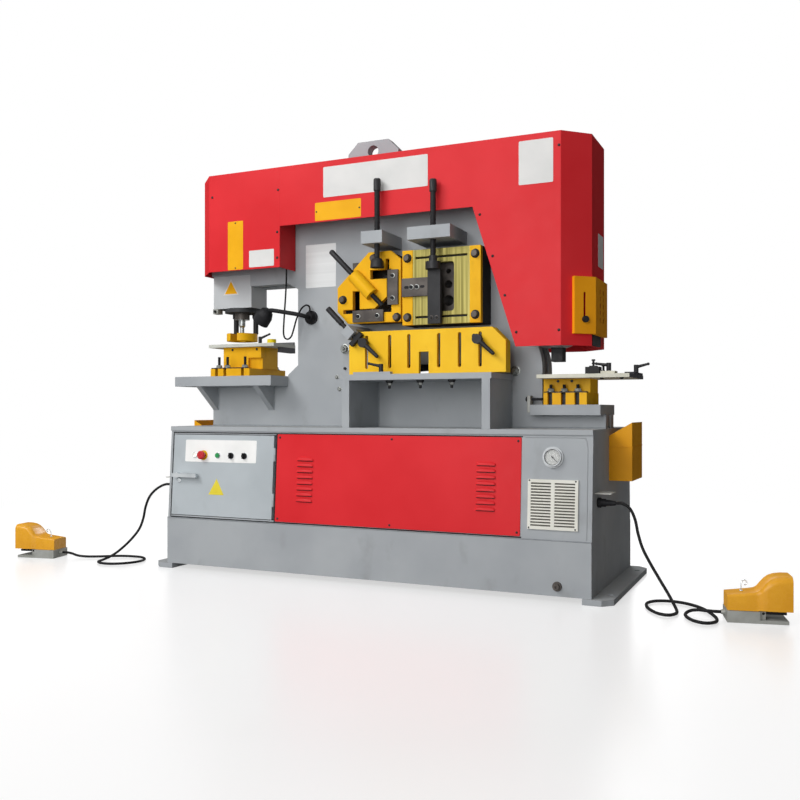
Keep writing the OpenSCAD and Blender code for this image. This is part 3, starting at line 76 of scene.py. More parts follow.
def finish(name, main, other, cloud_mm=250.0, rough=(0.36, 0.46), metal=0.0, peel_mm=3.3, peel_high_mm=0.0,
           grain=None, edge_mm=1.2, fields=(), dust=None, shine=0.1, smudge=None, clear=1.0):
    """A solid finish: two close colours in soft clouds, uneven roughness, a fine skin and rounded edges.

    cloud_mm is the size of the colour clouds, peel_mm and peel_high_mm the spacing and height of the skin's
    bumps, grain a scale per axis that draws both out into ground lines, edge_mm the radius of broken edges,
    fields a list of (colour, limits) for pieces of several finishes, dust a colour that lies on top faces,
    smudge a colour of thin hand and oil marks, and clear the share of light that the surface stops.
    Orange peel, moulded and blasted skins are finer on the real machine, about 0.2 to 2 mm: peel_mm draws
    them as coarse as they need to be to show.
    """
    made, tree = empty_material(name)
    where = add_node(tree, "TexCoord").outputs["Object"]
    lines = where
    if grain:
        lines = add_node(tree, "Mapping", {"Vector": where, "Scale": grain}).outputs[0]
    clouds = add_node(tree, "TexNoise", {"Vector": lines, "Scale": 1 / (cloud_mm * MM), "Detail": 3.0})
    skin = add_node(tree, "TexNoise", {"Vector": lines, "Scale": 1 / (peel_mm * MM), "Detail": 2.0})
    wear = add_node(tree, "TexNoise", {"Vector": lines, "Scale": 6 / (cloud_mm * MM), "Detail": 4.0})
    share = add_node(tree, "MapRange", {"Value": clouds.outputs["Fac"], "From Min": 0.35, "From Max": 0.65})
    colour = add_node(tree, "Mix", {0: share.outputs[0], 6: linear(main), 7: linear(other)},
                      data_type="RGBA")
    if grain:
        streak = add_node(tree, "MapRange", {"Value": skin.outputs["Fac"], "From Min": 0.35,
                                             "From Max": 0.65, "To Max": 0.5})
        colour = add_node(tree, "Mix", {0: streak.outputs[0], 6: colour.outputs[2], 7: linear(other)},
                          data_type="RGBA")
    if smudge:
        tall = add_node(tree, "Mapping", {"Vector": where, "Scale": (1.0, 1.0, 0.6)})
        marks = add_node(tree, "TexNoise", {"Vector": tall.outputs[0], "Scale": 2.3 / (cloud_mm * MM),
                                            "Detail": 8.0})
        thin = add_node(tree, "MapRange", {"Value": marks.outputs["Fac"], "From Min": 0.6, "From Max": 0.78,
                                           "To Max": 0.55})
        colour = add_node(tree, "Mix", {0: thin.outputs[0], 6: colour.outputs[2], 7: linear(smudge)},
                          data_type="RGBA")
    if dust:
        facing = add_node(tree, "SeparateXYZ", {"Vector": add_node(tree, "NewGeometry").outputs["Normal"]})
        up = add_node(tree, "MapRange", {"Value": facing.outputs["Z"], "From Min": 0.6, "From Max": 1.0,
                                         "To Max": 0.4})
        uneven = add_node(tree, "MapRange", {"Value": clouds.outputs["Fac"], "From Min": 0.35,
                                             "From Max": 0.65, "To Min": 0.4})
        film = add_node(tree, "Math", {0: up.outputs[0], 1: uneven.outputs[0]}, operation="MULTIPLY")
        colour = add_node(tree, "Mix", {0: film.outputs[0], 6: colour.outputs[2], 7: linear(dust)},
                          data_type="RGBA")
    axes = add_node(tree, "SeparateXYZ", {"Vector": where}).outputs
    for code, limits in fields:
        inside = 1.0
        for axis, test, border in limits:
            side = add_node(tree, "Math", {0: axes[axis], 1: border * MM}, operation=test)
            inside = add_node(tree, "Math", {0: inside, 1: side.outputs[0]}, operation="MULTIPLY").outputs[0]
        colour = add_node(tree, "Mix", {0: inside, 6: colour.outputs[2], 7: linear(code)}, data_type="RGBA")
    dull = add_node(tree, "MapRange", {"Value": wear.outputs["Fac"], "From Min": 0.35, "From Max": 0.65,
                                       "To Min": rough[0], "To Max": rough[1]}).outputs[0]
    if metal < 0.5:
        # paint and plastic lose their gloss at a glancing view, as their fine skin does
        facing = add_node(tree, "LayerWeight", {"Blend": 0.5}).outputs["Facing"]
        glance = add_node(tree, "MapRange", {"Value": facing, "From Min": 0.5, "From Max": 0.78})
        dull = add_node(tree, "Mix", {0: glance.outputs[0], 2: dull, 3: 0.97}).outputs[0]
    broken = add_node(tree, "Bevel", {"Radius": edge_mm * MM}, samples=4)
    bumps = add_node(tree, "Bump", {"Height": skin.outputs["Fac"], "Distance": peel_high_mm * MM,
                                    "Normal": broken.outputs[0]})
    solid = add_node(tree, "BsdfPrincipled", {
        "Base Color": colour.outputs[2], "Roughness": dull, "Metallic": metal, "Specular IOR Level": shine,
        "Alpha": clear, "Normal": bumps.outputs[0]})
    add_node(tree, "OutputMaterial", {"Surface": solid.outputs[0]})
    return made


def lamp_plastic(name, code, mottle_mm, glow):
    """Milky clear plastic, mottled between its tint and white, with a faint light of its own."""
    made, tree = empty_material(name)
    where = add_node(tree, "TexCoord").outputs["Object"]
    mottle = add_node(tree, "TexNoise", {"Vector": where, "Scale": 1 / (mottle_mm * MM)})
    tint = add_node(tree, "Mix", {0: mottle.outputs["Fac"], 6: linear(code), 7: linear("#ffffff")},
                    data_type="RGBA")
    lens = add_node(tree, "BsdfPrincipled", {
        "Base Color": tint.outputs[2], "Transmission Weight": 0.85, "Roughness": 0.08,
        "Emission Color": linear(code), "Emission Strength": glow})
    add_node(tree, "OutputMaterial", {"Surface": lens.outputs[0]})
    return made


OVER, UNDER = "GREATER_THAN", "LESS_THAN"
SATIN, SEMI, GROUND = (0.32, 0.42), (0.3, 0.4), (0.3, 0.42)
mat = {}

# Enamel sprayed on welded plate: satin light grey, orange peel 5 mm apart, oil marks, dust on top faces
mat["grey"] = finish("grey machine enamel", "#abafb2", "#a1a5a9", peel_mm=5.25, peel_high_mm=0.05,
                     edge_mm=2.2, dust="#b0b0ac", smudge="#8b8d8d")
# Enamel on thin sheet: lighter and bluer than the body, with finger marks
mat["door"] = finish("light grey door enamel", "#b7bec2", "#aeb5b9", peel_mm=6.25, peel_high_mm=0.03,
                     smudge="#a3a8aa")
# Enamel on folded sheet: strong even red with a soft sheen and wide orange peel
mat["red"] = finish("red sheet enamel", "#dc3036", "#d4292f", 400, SEMI, peel_mm=5.9, peel_high_mm=0.03,
                    edge_mm=2.0)
# Enamel on milled blocks: warm yellow, round edges, brown marks of handling
mat["yellow"] = finish("yellow block enamel", "#f3bb20", "#eaae18", 143, SATIN, peel_mm=4.2,
                       peel_high_mm=0.05, edge_mm=2.6, smudge="#cf9a1c")
# The same enamel on the switch cover, nearer to orange and clean
mat["cover"] = finish("orange yellow cover enamel", "#f2a31a", "#e99a14", rough=SATIN, peel_mm=5.0,
                      peel_high_mm=0.04, edge_mm=2.0)
# The same enamel on the slotted guard, nearer to lemon, with worn places
mat["guard"] = finish("lemon yellow guard enamel", "#f8c830", "#f1bd26", 143, SATIN, peel_mm=4.2,
                      peel_high_mm=0.05, edge_mm=2.6, smudge="#d8a722")
# Enamel on the folded slug trays: darker orange yellow with a soft sheen
mat["tray"] = finish("orange yellow sheet enamel", "#e8a31c", "#de9816", rough=SEMI, peel_mm=6.7,
                     peel_high_mm=0.03)
# Enamel over a die casting: glossier, with the casting's fine skin showing through
mat["pedal"] = finish("cast yellow guard enamel", "#eaa92a", "#e09d20", 100, (0.24, 0.32), peel_mm=3.1,
                      peel_high_mm=0.06, shine=0.25)
# Blackened turned steel: near black with a dull oily sheen
mat["black"] = finish("black oxide steel", "#19191b", "#242426", 83, (0.34, 0.48), 0.2, peel_mm=1.7,
                      peel_high_mm=0.04, shine=0.25)
# Bare tool steel under oil: brown grey, patchy and half glossy
mat["dark"] = finish("oiled dark steel", "#45413f", "#5b5652", 71, (0.36, 0.5), 0.35, peel_mm=2.0,
                     peel_high_mm=0.04, edge_mm=0.8)
# Steel from the surface grinder: mid grey metal with fine lines across
mat["bright"] = finish("ground bright steel", "#9a9d9d", "#858989", 111, (0.28, 0.4), 0.8, peel_mm=3.85,
                       peel_high_mm=0.01, grain=(1.0, 14.0, 1.0))
# Galvanised plate with black switchgear in front of it and a pale terminal strip below
mat["switchgear"] = finish("galvanised plate with switchgear", "#c4c8c8", "#b3b8b8", 33.3, (0.34, 0.46), 0.2,
                           fields=[("#2b2d30", [("Y", UNDER, 280.5)]),
                                   ("#c9c6b8", [("Y", UNDER, 280.5), ("Z", UNDER, 310)])])
# Zinc plated bolts and nuts: pale metal, slightly mottled
mat["nut"] = finish("zinc plated fastener", "#8f918e", "#767875", 16.7, (0.25, 0.38), 0.7, edge_mm=0.6)
# Milled plate, passivated olive: upright cutter lines 8 mm apart, drawn out along their length
mat["zinc"] = finish("milled passivated steel", "#b8ad66", "#787039", 8.33, GROUND, 0.3, peel_mm=3.85,
                     peel_high_mm=0.03, grain=(1.0, 1.0, 0.012))
# Polished plating: clear reflections
mat["chrome"] = finish("polished chrome", "#c8ccce", "#b4b9bc", 66.7, (0.08, 0.16), 1.0)
# Moulded grille: warm white with a fine matt texture
mat["white"] = finish("white moulded plastic", "#e6e5dc", "#dddcd2", 125, (0.4, 0.5), peel_mm=1.25,
                      peel_high_mm=0.02)
# Lacquered sheet of the bare plates: cool white, thin sharp edges
mat["plate"] = finish("white lacquered aluminium", "#dedddb", "#d6d6d4", 125, SEMI, edge_mm=0.3)
# Laminated control plate: the whitest surface on the machine
mat["control"] = finish("white laminated control plate", "#f6f6f4", "#eeeeec", 125, SEMI, edge_mm=0.3)
# Self-adhesive film on hood and cylinder block: flat amber
mat["amber_film"] = finish("amber self-adhesive film", "#f2b21e", "#eaa917", 125, (0.3, 0.42), edge_mm=0.2)
# Self-adhesive film on the door: greener yellow
mat["film"] = finish("lemon self-adhesive film", "#e8d648", "#dfcc3e", 50, (0.3, 0.42), edge_mm=0.2)
# Brushed aluminium under clear lacquer: near white with level lines
mat["data"] = finish("brushed data plate aluminium", "#dfe1e1", "#d2d4d4", 125, SEMI, 0.1, peel_mm=5.0,
                     grain=(0.05, 1.0, 6.0), edge_mm=0.3)
# Moulded plastic: soft black with a fine erosion texture
mat["plastic"] = finish("black moulded plastic", "#1d1d1f", "#262628", 50, (0.4, 0.55), peel_mm=1.1,
                        peel_high_mm=0.03)
# Cord sheath: dull black rubber
mat["rubber"] = finish("black cord rubber", "#19191a", "#212122", 40, (0.5, 0.62), peel_mm=0.83,
                       peel_high_mm=0.03)
# Polished mushroom head: deep glossy red
mat["stop_red"] = finish("red button plastic", "#c5121c", "#b80f19", 33.3, (0.2, 0.3), shine=0.5)
# Polished push button: deep glossy green
mat["start_green"] = finish("green button plastic", "#18924a", "#137f40", 33.3, (0.2, 0.3), shine=0.5)
# Flat disc under the stop button: plain yellow
mat["ring"] = finish("yellow ring plastic", "#e9bd22", "#dfb31c", 33.3, SEMI)
# Bare die casting: warm pale grey with a grainy skin
mat["cast"] = finish("cast pedal alloy", "#a3a4a0", "#92938d", 55.6, (0.42, 0.55), 0.2, peel_mm=2.0,
                     peel_high_mm=0.07, edge_mm=2.0)
# Blasted steel: pale and evenly rough
mat["flange"] = finish("blasted gauge flange steel", "#b9bcbe", "#a7aaac", 14.3, (0.35, 0.5), 0.2,
                       peel_mm=2.4, peel_high_mm=0.08)
# Painted dial: flat pale grey, without gloss
mat["dial"] = finish("matt dial enamel", "#c6c7c4", "#bcbdba", 50, (0.4, 0.5))
# Painted shade: a warm mid grey that stands in for the shadow inside the moulded grille's gaps
mat["grille_gap"] = finish("shaded grille plastic", "#6f6d65", "#63615a", 83, (0.5, 0.6))
# Moulded gland in black under a folded drip plate, which is light
mat["gland"] = finish("black gland under a light drip plate", "#1d1d1f", "#262628", 50, (0.4, 0.55),
                      fields=[("#c3c3bd", [("Z", OVER, 421.5), ("Z", UNDER, 426.5)])])
# Weld under the body's enamel: a little darker, with ripples and spatter
mat["weld"] = finish("painted weld bead", "#989ca0", "#8a8f93", 25, (0.34, 0.46), peel_mm=2.9,
                     peel_high_mm=0.1)
# Enamelled cylinder block above its dark oiled flange
mat["housing"] = finish("grey cylinder block over a dark flange", "#47484a", "#3a3b3d", 167, peel_mm=5.25,
                        peel_high_mm=0.05, edge_mm=2.2, fields=[("#bfc2c4", [("Z", OVER, 1265.5)])])
# Enamelled stripper fork below its blackened posts
mat["stripper"] = finish("yellow stripper with dark posts", "#efb81c", "#e6ac16", rough=SATIN, edge_mm=2.0,
                         fields=[("#2a2a2c", [("Z", OVER, 1140.5)])])
# Enamelled die holder with the bare steel die on top, browned by hands
mat["die"] = finish("yellow die holder with steel die", "#edb424", "#e2a81c", 111, SATIN, edge_mm=2.0,
                    fields=[("#6a6c6d", [("Z", OVER, 1065.5)])], smudge="#c08d1c")
# Pale ground work plate: grey stop parts on it, one yellow stop, and painted shade on the bar under it
mat["punch_plate"] = finish("steel work plate with yellow stop", "#d3d4cc", "#bfc1b9", 111, GROUND, fields=[
    ("#77797a", [("Z", OVER, 1082.5)]),
    ("#e7ce22", [("Z", OVER, 1082.5), ("X", OVER, -690), ("Y", UNDER, -30)]),
    # painted shade on the bar under the plate
    ("#4b4c50", [("Z", UNDER, 1065.5)])])
# Pale ground work plate: blackened stops on it, dark parts on its right end, and painted shade on its right
# end face
mat["notch_plate"] = finish("steel work plate with dark stops", "#dedccd", "#cbcabb", 111, GROUND, fields=[
    ("#2c2c2e", [("Z", OVER, 900.5), ("X", UNDER, 980)]),
    ("#35353a", [("Z", OVER, 900.5), ("X", OVER, 1070)]),
    # painted shade on the right end face
    ("#4a4a4e", [("X", OVER, 1116.5)])])
# Cast acrylic: all but clear, with a sharp gloss
mat["glass"] = finish("clear gauge acrylic", "#f2f4f4", "#e9ecec", 33.3, (0.08, 0.14), shine=0.5, clear=0.1)
# Milky lens of pilot lamp and bulb: clear and softly lit
mat["lens"] = lamp_plastic("pilot lamp lens", "#f4f4e6", 16.7, 0.15)

NODE_FINISH = {
    "grey": ["base_cabinet", "body_front_plate", "body_rear_plate", "body_ties", "die_tables", "shear_box",
             "shear_beam", "shear_cylinder", "hydraulic_unit"],
    "door": ["cabinet_door"],
    "red": ["front_panel", "left_hood", "main_hood"],
    "yellow": ["shear_plates", "notch_die"],
    "cover": ["limit_switch_cover"],
    "guard": ["flat_guard"],
    "tray": ["trays"],
    "pedal": ["pedal_guards"],
    "housing": ["punch_housing"],
    "black": ["blade_carriers", "moving_blades", "punch_lever", "notch_lever_inner", "notch_lever_outer",
              "angle_foot", "angle_spindle", "section_foot", "section_spindle", "corner_spindle",
              "guard_spindle", "guard_lever_left", "guard_lever_right", "fence_lever", "gauge_pointer"],
    "dark": ["blade_bars"],
    "bright": ["shear_rod", "punch_ram"],
    "switchgear": ["electrical_plate"],
    "zinc": ["section_plate"],
    "chrome": ["door_handle"],
    "flange": ["gauge_case"],
    "gland": ["cable_glands"],
    "white": ["vent_grille"],
    "plastic": ["limit_knob", "work_lamp", "left_tread", "right_tread", "selector_left", "selector_right"],
    "stop_red": ["estop_button"],
    "start_green": ["start_button"],
    "rubber": ["lamp_cord", "left_pedal_cord", "right_pedal_cord"],
    "cast": ["pedal_bases"],
    "stripper": ["stripper"],
    "die": ["die_holder"],
    "punch_plate": ["punch_table"],
    "notch_plate": ["notch_table"],
}
for look, names in NODE_FINISH.items():
    for name in names:
        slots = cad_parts[name].data.materials
        slots.clear()
        slots.append(mat[look])


# Surfaces as functions of two parameters

class Shape:
    """Grids of points gathered from several solids into one mesh."""

    def __init__(self):
        self.points, self.faces, self.count = [], [], 0

    def face(self, ring):
        """One flat face round a ring of points."""
        self.points.append(ring)
        self.faces.append((np.arange(len(ring)) + self.count).tolist())
        self.count += len(ring)

    def sheet(self, grid, wrap=True, caps=True):
        """Quads over a grid of points, rows by columns, joined round the columns, with end rows closed."""
        rows, cols = grid.shape[:2]
        i = np.arange(rows - 1)[:, None] * cols
        j = np.arange(cols if wrap else cols - 1)
        k = (j + 1) % cols
        quads = np.stack([i + j, i + k, i + cols + k, i + cols + j], -1).reshape(-1, 4)
        self.points.append(grid.reshape(-1, 3))
        self.faces += (quads + self.count).tolist()
        if caps:
            ends = np.stack([np.arange(cols)[::-1], np.arange(cols) + (rows - 1) * cols])
            self.faces += (ends + self.count).tolist()
        self.count += rows * cols

    def make(self, name, look, body, smooth=38.0):
        """The gathered mesh as one object riding on a body, smooth below that edge angle in degrees."""
        mesh = bpy.data.meshes.new(name)
        mesh.from_pydata(np.concatenate(self.points).tolist(), [], self.faces)
        mesh.materials.append(mat[look])
        mesh.shade_smooth()
        mesh.set_sharp_from_angle(angle=math.radians(smooth))
        made = bpy.data.objects.new(name, mesh)
        bpy.context.scene.collection.objects.link(made)
        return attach(made, body)


def unit(rows):
    """Each row's direction, one long."""
    rows = np.asarray(rows, float)
    return rows / np.linalg.norm(rows, axis=-1, keepdims=True)


def square_to(ways):
    """For each unit direction a unit vector square to it and to Z, or to X where the direction is steep."""
    helper = np.where(np.abs(ways[..., 2:]) < 0.9, (0.0, 0.0, 1.0), (1.0, 0.0, 0.0))
    return unit(np.cross(ways, helper))


def circle(axis, sides, phase=0.0):
    """Unit ring round an axis, u cos a + v sin a for equal steps of a, with the angles and the axis."""
    along = unit(axis)
    u = square_to(along)
    angle = np.arange(sides) / sides * TAU + phase
    ring = np.cos(angle)[:, None] * u + np.sin(angle)[:, None] * np.cross(along, u)
    return ring, angle, along


def turned(shape, centre, axis, profile, sides=24, phase=0.0):
    """Turned solid: P(t, a) = centre + axis h(t) + r(t) (u cos a + v sin a), profile rows r, h in mm."""
    ring, _, along = circle(axis, sides, phase)
    r, h = np.array(profile, float).T[:, :, None, None] * MM
    shape.sheet(np.asarray(centre) + h * along + r * ring)


def threaded(shape, centre, axis, length, r, pitch=6.0, depth=1.6, sides=28):
    """Screw thread: radius r less depth times a flat-topped wave of h / pitch - a / turn, all in mm."""
    ring, angle, along = circle(axis, sides)
    h = np.linspace(0, length, int(length / pitch * 6) + 1)[:, None]
    phase = (h / pitch - angle / TAU) % 1.0
    wave = np.clip(2.2 * np.abs(2 * phase - 1) - 0.6, 0, 1)
    shape.sheet(np.asarray(centre) + (h[..., None] * along + (r - depth * wave)[..., None] * ring) * MM)


def rounded_plate(shape, centre, across, up, wide, tall, thick, corner=4.0, chamfer=0.0):
    """Plate: the outline of a rounded rectangle, quarter circles round four corner centres, raised by thick
    and drawn in by the chamfer at its top (mm)."""
    u, v = unit(across), unit(up)
    angle = (np.arange(4)[:, None] + np.linspace(0, 1, 5)).ravel() * math.pi / 2
    middle = np.repeat([(1, 1), (-1, 1), (-1, -1), (1, -1)], 5, axis=0)
    middle = middle * (wide / 2 - corner, tall / 2 - corner)
    height, trim = np.array([(0, 0), (thick - chamfer, 0), (thick, chamfer)], float).T[:, :, None, None]
    flat = middle + (corner - trim) * np.stack([np.cos(angle), np.sin(angle)], 1)
    shape.sheet(np.asarray(centre) + (flat @ np.array([u, v]) + height * np.cross(u, v)) * MM)


def smooth_path(points, per=6):
    """Catmull-Rom curve through the points: each span is a cubic of its ends and their neighbours."""
    p = np.asarray(points, float)
    q = np.vstack([2 * p[0] - p[1], p, 2 * p[-1] - p[-2]])
    a, b, c, d = q[:-3, None], q[1:-2, None], q[2:-1, None], q[3:, None]
    t = (np.arange(per) / per)[:, None]
    square, cube = 2 * a - 5 * b + 4 * c - d, 3 * b - a - 3 * c + d
    spans = 0.5 * (2 * b + (c - a) * t + square * t ** 2 + cube * t ** 3)
    return np.vstack([spans.reshape(-1, 3), p[-1:]])


def distance(path):
    """Length of the path up to each of its points."""
    return np.concatenate([[0], np.cumsum(np.linalg.norm(np.diff(path, axis=0), axis=1))])


def even_steps(path, step):
    """The path's points again at equal steps of about that length in metres."""
    s = distance(path)
    stations = np.linspace(0, s[-1], max(2, int(s[-1] / step) + 1))
    return np.stack([np.interp(stations, s, path[:, k]) for k in range(3)], 1)


def swept(shape, path, radius, sides=12, rib=None):
    """Tube along a path C: P(s, a) = C + R (n cos(a + w) + b sin(a + w)), with n and b square to the path.

    w sums the turns between each ring's n and the one before it, carried over by two mirrorings, so the tube
    isn't twisted. R is waved along s by rib, a height and a period. All lengths are metres.
    """
    along = unit(np.gradient(path, axis=0))
    n = square_to(along)
    b = np.cross(along, n)
    step = unit(np.diff(path, axis=0))
    carried = n[:-1] - 2 * step * np.sum(step * n[:-1], 1, keepdims=True)
    heading = along[:-1] - 2 * step * np.sum(step * along[:-1], 1, keepdims=True)
    mirror = unit(along[1:] - heading)
    carried -= 2 * mirror * np.sum(mirror * carried, 1, keepdims=True)
    twist = np.arctan2(np.sum(carried * b[1:], 1), np.sum(carried * n[1:], 1))
    w = np.concatenate([[0], np.cumsum(twist)])
    angle = (np.arange(sides) / sides * TAU + w[:, None])[..., None]
    r = radius + (rib[0] * np.abs(np.sin(math.pi * distance(path) / rib[1])) if rib else 0 * w)
    shape.sheet(path[:, None] + r[:, None, None] * (np.cos(angle) * n[:, None] + np.sin(angle) * b[:, None]))


# Fasteners and welds

def socket_screw(shape, spot, axis, d):
    """Socket head cap screw of thread size d: head d tall, 1.5 d wide, a thin hexagon marking its socket."""
    r = 0.75 * d
    turned(shape, spot, axis, [(r, 0), (r, d * 0.88), (r - d * 0.1, d), (d * 0.5, d)], 20)
    turned(shape, spot, axis, [(d * 0.5, d), (d * 0.5, d * 1.001)], 6)


def hex_bolt(shape, spot, axis, d, washer=True):
    """Hexagon bolt head of thread size d on its washer: head 0.65 d tall, 1.73 d across corners."""
    base = 0.15 * d if washer else 0.0
    if washer:
        turned(shape, spot, axis, [(1.05 * d, 0), (1.05 * d, base * 0.8), (d, base)], 24)
    r = 0.87 * d
    turned(shape, spot, axis, [(r, base), (r, base + 0.55 * d), (r * 0.86, base + 0.65 * d)], 6, 0.3)


def bead(shape, start, end, r=4.0):
    """Weld bead along a straight seam: a tube of radius r with ripples 5 mm apart (mm)."""
    swept(shape, even_steps(np.array([start, end], float) * MM, 0.0016), r * MM, 8, (0.0009, 0.005))


# Places on the machine

def at(x, y, z):
    """A point of the drawing in metres."""
    return np.array([x, y, z]) * MM


FRONT, BACK, LEFT, RIGHT = (0, -1, 0), (0, 1, 0), (-1, 0, 0), (1, 0, 0)
UP, DOWN = (0, 0, 1), (0, 0, -1)
BODY_FRONT, BODY_BACK, BODY_FOOT = -80, 80, 673
HOOD_FRONT = -226
PLATE_FRONT = -215
BLADE_FRONT = PLATE_FRONT - 12
ANGLE_X, ANGLE_Z = -198, 1145
BAR_Z = 1127

# The cabinet's leaning front: its lower edge, its length up the slope, and its directions up and outwards
FOOT_DEPTH, TOP_DEPTH, TOP_PLATE, FACE_INSET, PLINTH_TOP = 822, 756, 21, 6, 240
F_ORIGIN = np.array([0, FACE_INSET - FOOT_DEPTH / 2, PLINTH_TOP])
F_LEAN, F_RISE = (FOOT_DEPTH - TOP_DEPTH) / 2 - FACE_INSET, BODY_FOOT - TOP_PLATE - PLINTH_TOP
F_LEN = math.hypot(F_LEAN, F_RISE)
F_UP = np.array([0, F_LEAN, F_RISE]) / F_LEN
F_OUT = np.array([0, -F_UP[2], F_UP[1]])


def on_front(x, s, out=0.0):
    """A point or grid of the cabinet front at x and up-slope s, stood out by out (mm), in metres."""
    x, s, out = [np.asarray(v, float)[..., None] for v in (x, s, out)]
    return (F_ORIGIN + x * RIGHT + s * F_UP + out * F_OUT) * MM


# Fasteners of the shear faces, with black rings of painted shade in the plate screws' counterbores and
# bright rings in the blades' counterbores
screws, heads, rings = Shape(), Shape(), Shape()
plate_screws = [(ANGLE_X + 28, ANGLE_Z + 110), (ANGLE_X + 186, ANGLE_Z + 290), (ANGLE_X + 300, ANGLE_Z + 20)]
plate_screws += [(x, BAR_Z + z) for x in (154, 472) for z in (34, 296)]
for x, z in plate_screws:
    # black ring of painted shade round the head, in its counterbore
    turned(screws, at(x, PLATE_FRONT, z), FRONT, [(20, 0), (20, 0.8), (19, 1.2), (13, 1.2)], 32)
    socket_screw(heads, at(x, PLATE_FRONT, z), FRONT, 19)
blade_screws = [(ANGLE_X + 284, ANGLE_Z + 105), (ANGLE_X + 284, ANGLE_Z + 205),
                (ANGLE_X + 112, ANGLE_Z + 30), (ANGLE_X + 208, ANGLE_Z + 30),
                (178, BAR_Z + 166), (204, BAR_Z + 166)]
for x, z in blade_screws:
    socket_screw(screws, at(x, BLADE_FRONT, z), FRONT, 10)
    turned(rings, at(x, BLADE_FRONT, z), FRONT, [(11.5, 0), (11.5, 1.0), (10.5, 1.6), (7.6, 1.6)], 28)
for x in (154, 230):
    rounded_plate(screws, at(x, BLADE_FRONT, BAR_Z + 166), RIGHT, UP, 22, 12, 0.5, 5.9)
screws.make("face_screws", "plastic", "frame")
heads.make("face_screw_heads", "dark", "frame")
rings.make("blade_rings", "nut", "frame")

bar_screws, bar_rings = Shape(), Shape()
for x in (283, 307):
    socket_screw(bar_screws, at(x, -251, 1152), FRONT, 8)
    turned(bar_rings, at(x, -251, 1152), FRONT, [(9, 0), (9, 0.8), (8.2, 1.2), (6.2, 1.2)], 24)
bar_screws.make("bar_screws", "black", "bar_holddown")
bar_rings.make("bar_rings", "dark", "bar_holddown")

# Bolts of the body plates, and the adjusting screws under the flat shear's table
bolts, body_screws = Shape(), Shape()
for x, z, d in ((-231, 1041, 22), (610, 921, 22), (-275, 908, 10), (-261, 851, 10)):
    hex_bolt(bolts, at(x, BODY_FRONT, z), FRONT, d)
turned(bolts, at(-231, BODY_FRONT, 1041), FRONT, [(8, 14), (8, 24), (6.5, 26)], 16)
turned(bolts, at(610, BODY_FRONT, 921), FRONT, [(8, 14), (8, 26), (6.5, 28)], 16)
for x in (106, 252, 397):
    turned(body_screws, at(x, -300, 880), DOWN, [(17, 0), (17, 5), (12, 12), (7, 12), (7, 16)], 18)
    turned(bolts, at(x, -300, 868), DOWN, [(11.5, 0), (11.5, 8), (10, 10)], 6)
    turned(body_screws, at(x, -300, 860), DOWN, [(6, 0), (6, 14), (4.5, 16)], 12)
socket_screw(body_screws, at(-230, BODY_FRONT, 948), FRONT, 9)
for x, z in ((-760, 1560), (-330, 1050), (740, 1200), (880, 1200), (-80, 760), (420, 760)):
    hex_bolt(bolts, at(x, BODY_BACK, z), BACK, 20)
bolts.make("body_bolts", "nut", "frame")
body_screws.make("body_screws", "black", "frame")

# Die clamping: black clamp strips, which also stand in for the shade under the nuts, nuts in the slots,
# studs and bright nuts on both sides of each die
PUNCH_STUDS, NOTCH_STUDS = (-910, -860, -756), (772, 830, 888)
strips, studs, nuts = Shape(), Shape(), Shape()
for side in (-1, 1):
    # clamp strips in black: a clamp plate and painted shade under the nuts
    rounded_plate(strips, at(-844, side * 141, 956), RIGHT, BACK, 200, 44, 5, 3, 0.8)
    rounded_plate(strips, at(837, side * 97, 824), RIGHT, BACK, 182, 34, 5, 3, 0.8)
    spots = [(x, side * 141, 961, 46) for x in PUNCH_STUDS] + [(x, side * 98, 829, 22) for x in NOTCH_STUDS]
    for x, y, z, tall in spots:
        hex_bolt(nuts, at(x, y, z), UP, 17)
        threaded(studs, at(x, y, z + 8), UP, tall, 7, 2.0, 0.7, 16)
    for x in PUNCH_STUDS:
        rounded_plate(strips, at(x, side * 105.2, 936), (-side, 0, 0), UP, 15.4, 39, 26, 1, 0.5)
    for x in NOTCH_STUDS:
        rounded_plate(strips, at(x, side * 79.2, 798), (-side, 0, 0), UP, 19.4, 49, 14, 1, 0.5)
for x, y, z in ((-875, -72, 1054), (-730, -72, 1054), (797, -70, 874), (857, -70, 874)):
    socket_screw(studs, at(x, y, z), FRONT, 8)
strips.make("die_strips", "black", "frame")
studs.make("die_studs", "black", "frame")
nuts.make("die_nuts", "nut", "frame")

# Small stops: clamp block at the cylinder block, setting bolts of the notch station
stops, stop_bolts = Shape(), Shape()
rounded_plate(stops, at(-976, -62, 1240), RIGHT, BACK, 32, 44, 25, 4, 1.5)
socket_screw(stop_bolts, at(-976, -84, 1252), FRONT, 9)
rounded_plate(stops, at(686, -120, 740), RIGHT, BACK, 15, 40, 72, 3, 1.5)
hex_bolt(stop_bolts, at(678.5, -120, 797), LEFT, 12)
threaded(stop_bolts, at(693, -120, 797), RIGHT, 50, 6, 2.0, 0.6, 16)
for x, y, z, tall in ((940, -35, 934, 26), (988, -62, 900, 34)):
    rounded_plate(stop_bolts, at(x, y, z), RIGHT, BACK, 34, 22, 5, 4, 1)
    threaded(stop_bolts, at(x, y, z + 4), UP, tall, 5, 1.8, 0.6, 14)
    hex_bolt(stop_bolts, at(x, y, z + 12), UP, 9, False)
    hex_bolt(stop_bolts, at(x, y, z + tall), UP, 10, False)
for x in (1000, 1080):
    turned(stop_bolts, at(x, -150, 884), DOWN, [(8, 0), (8, 5), (6, 7), (0.1, 7.4)], 18)
rounded_plate(stop_bolts, at(936, 0, 1056), BACK, UP, 150, 64, 12, 6, 2)
stops.make("setting_blocks", "cast", "frame")
stop_bolts.make("setting_bolts", "black", "frame")

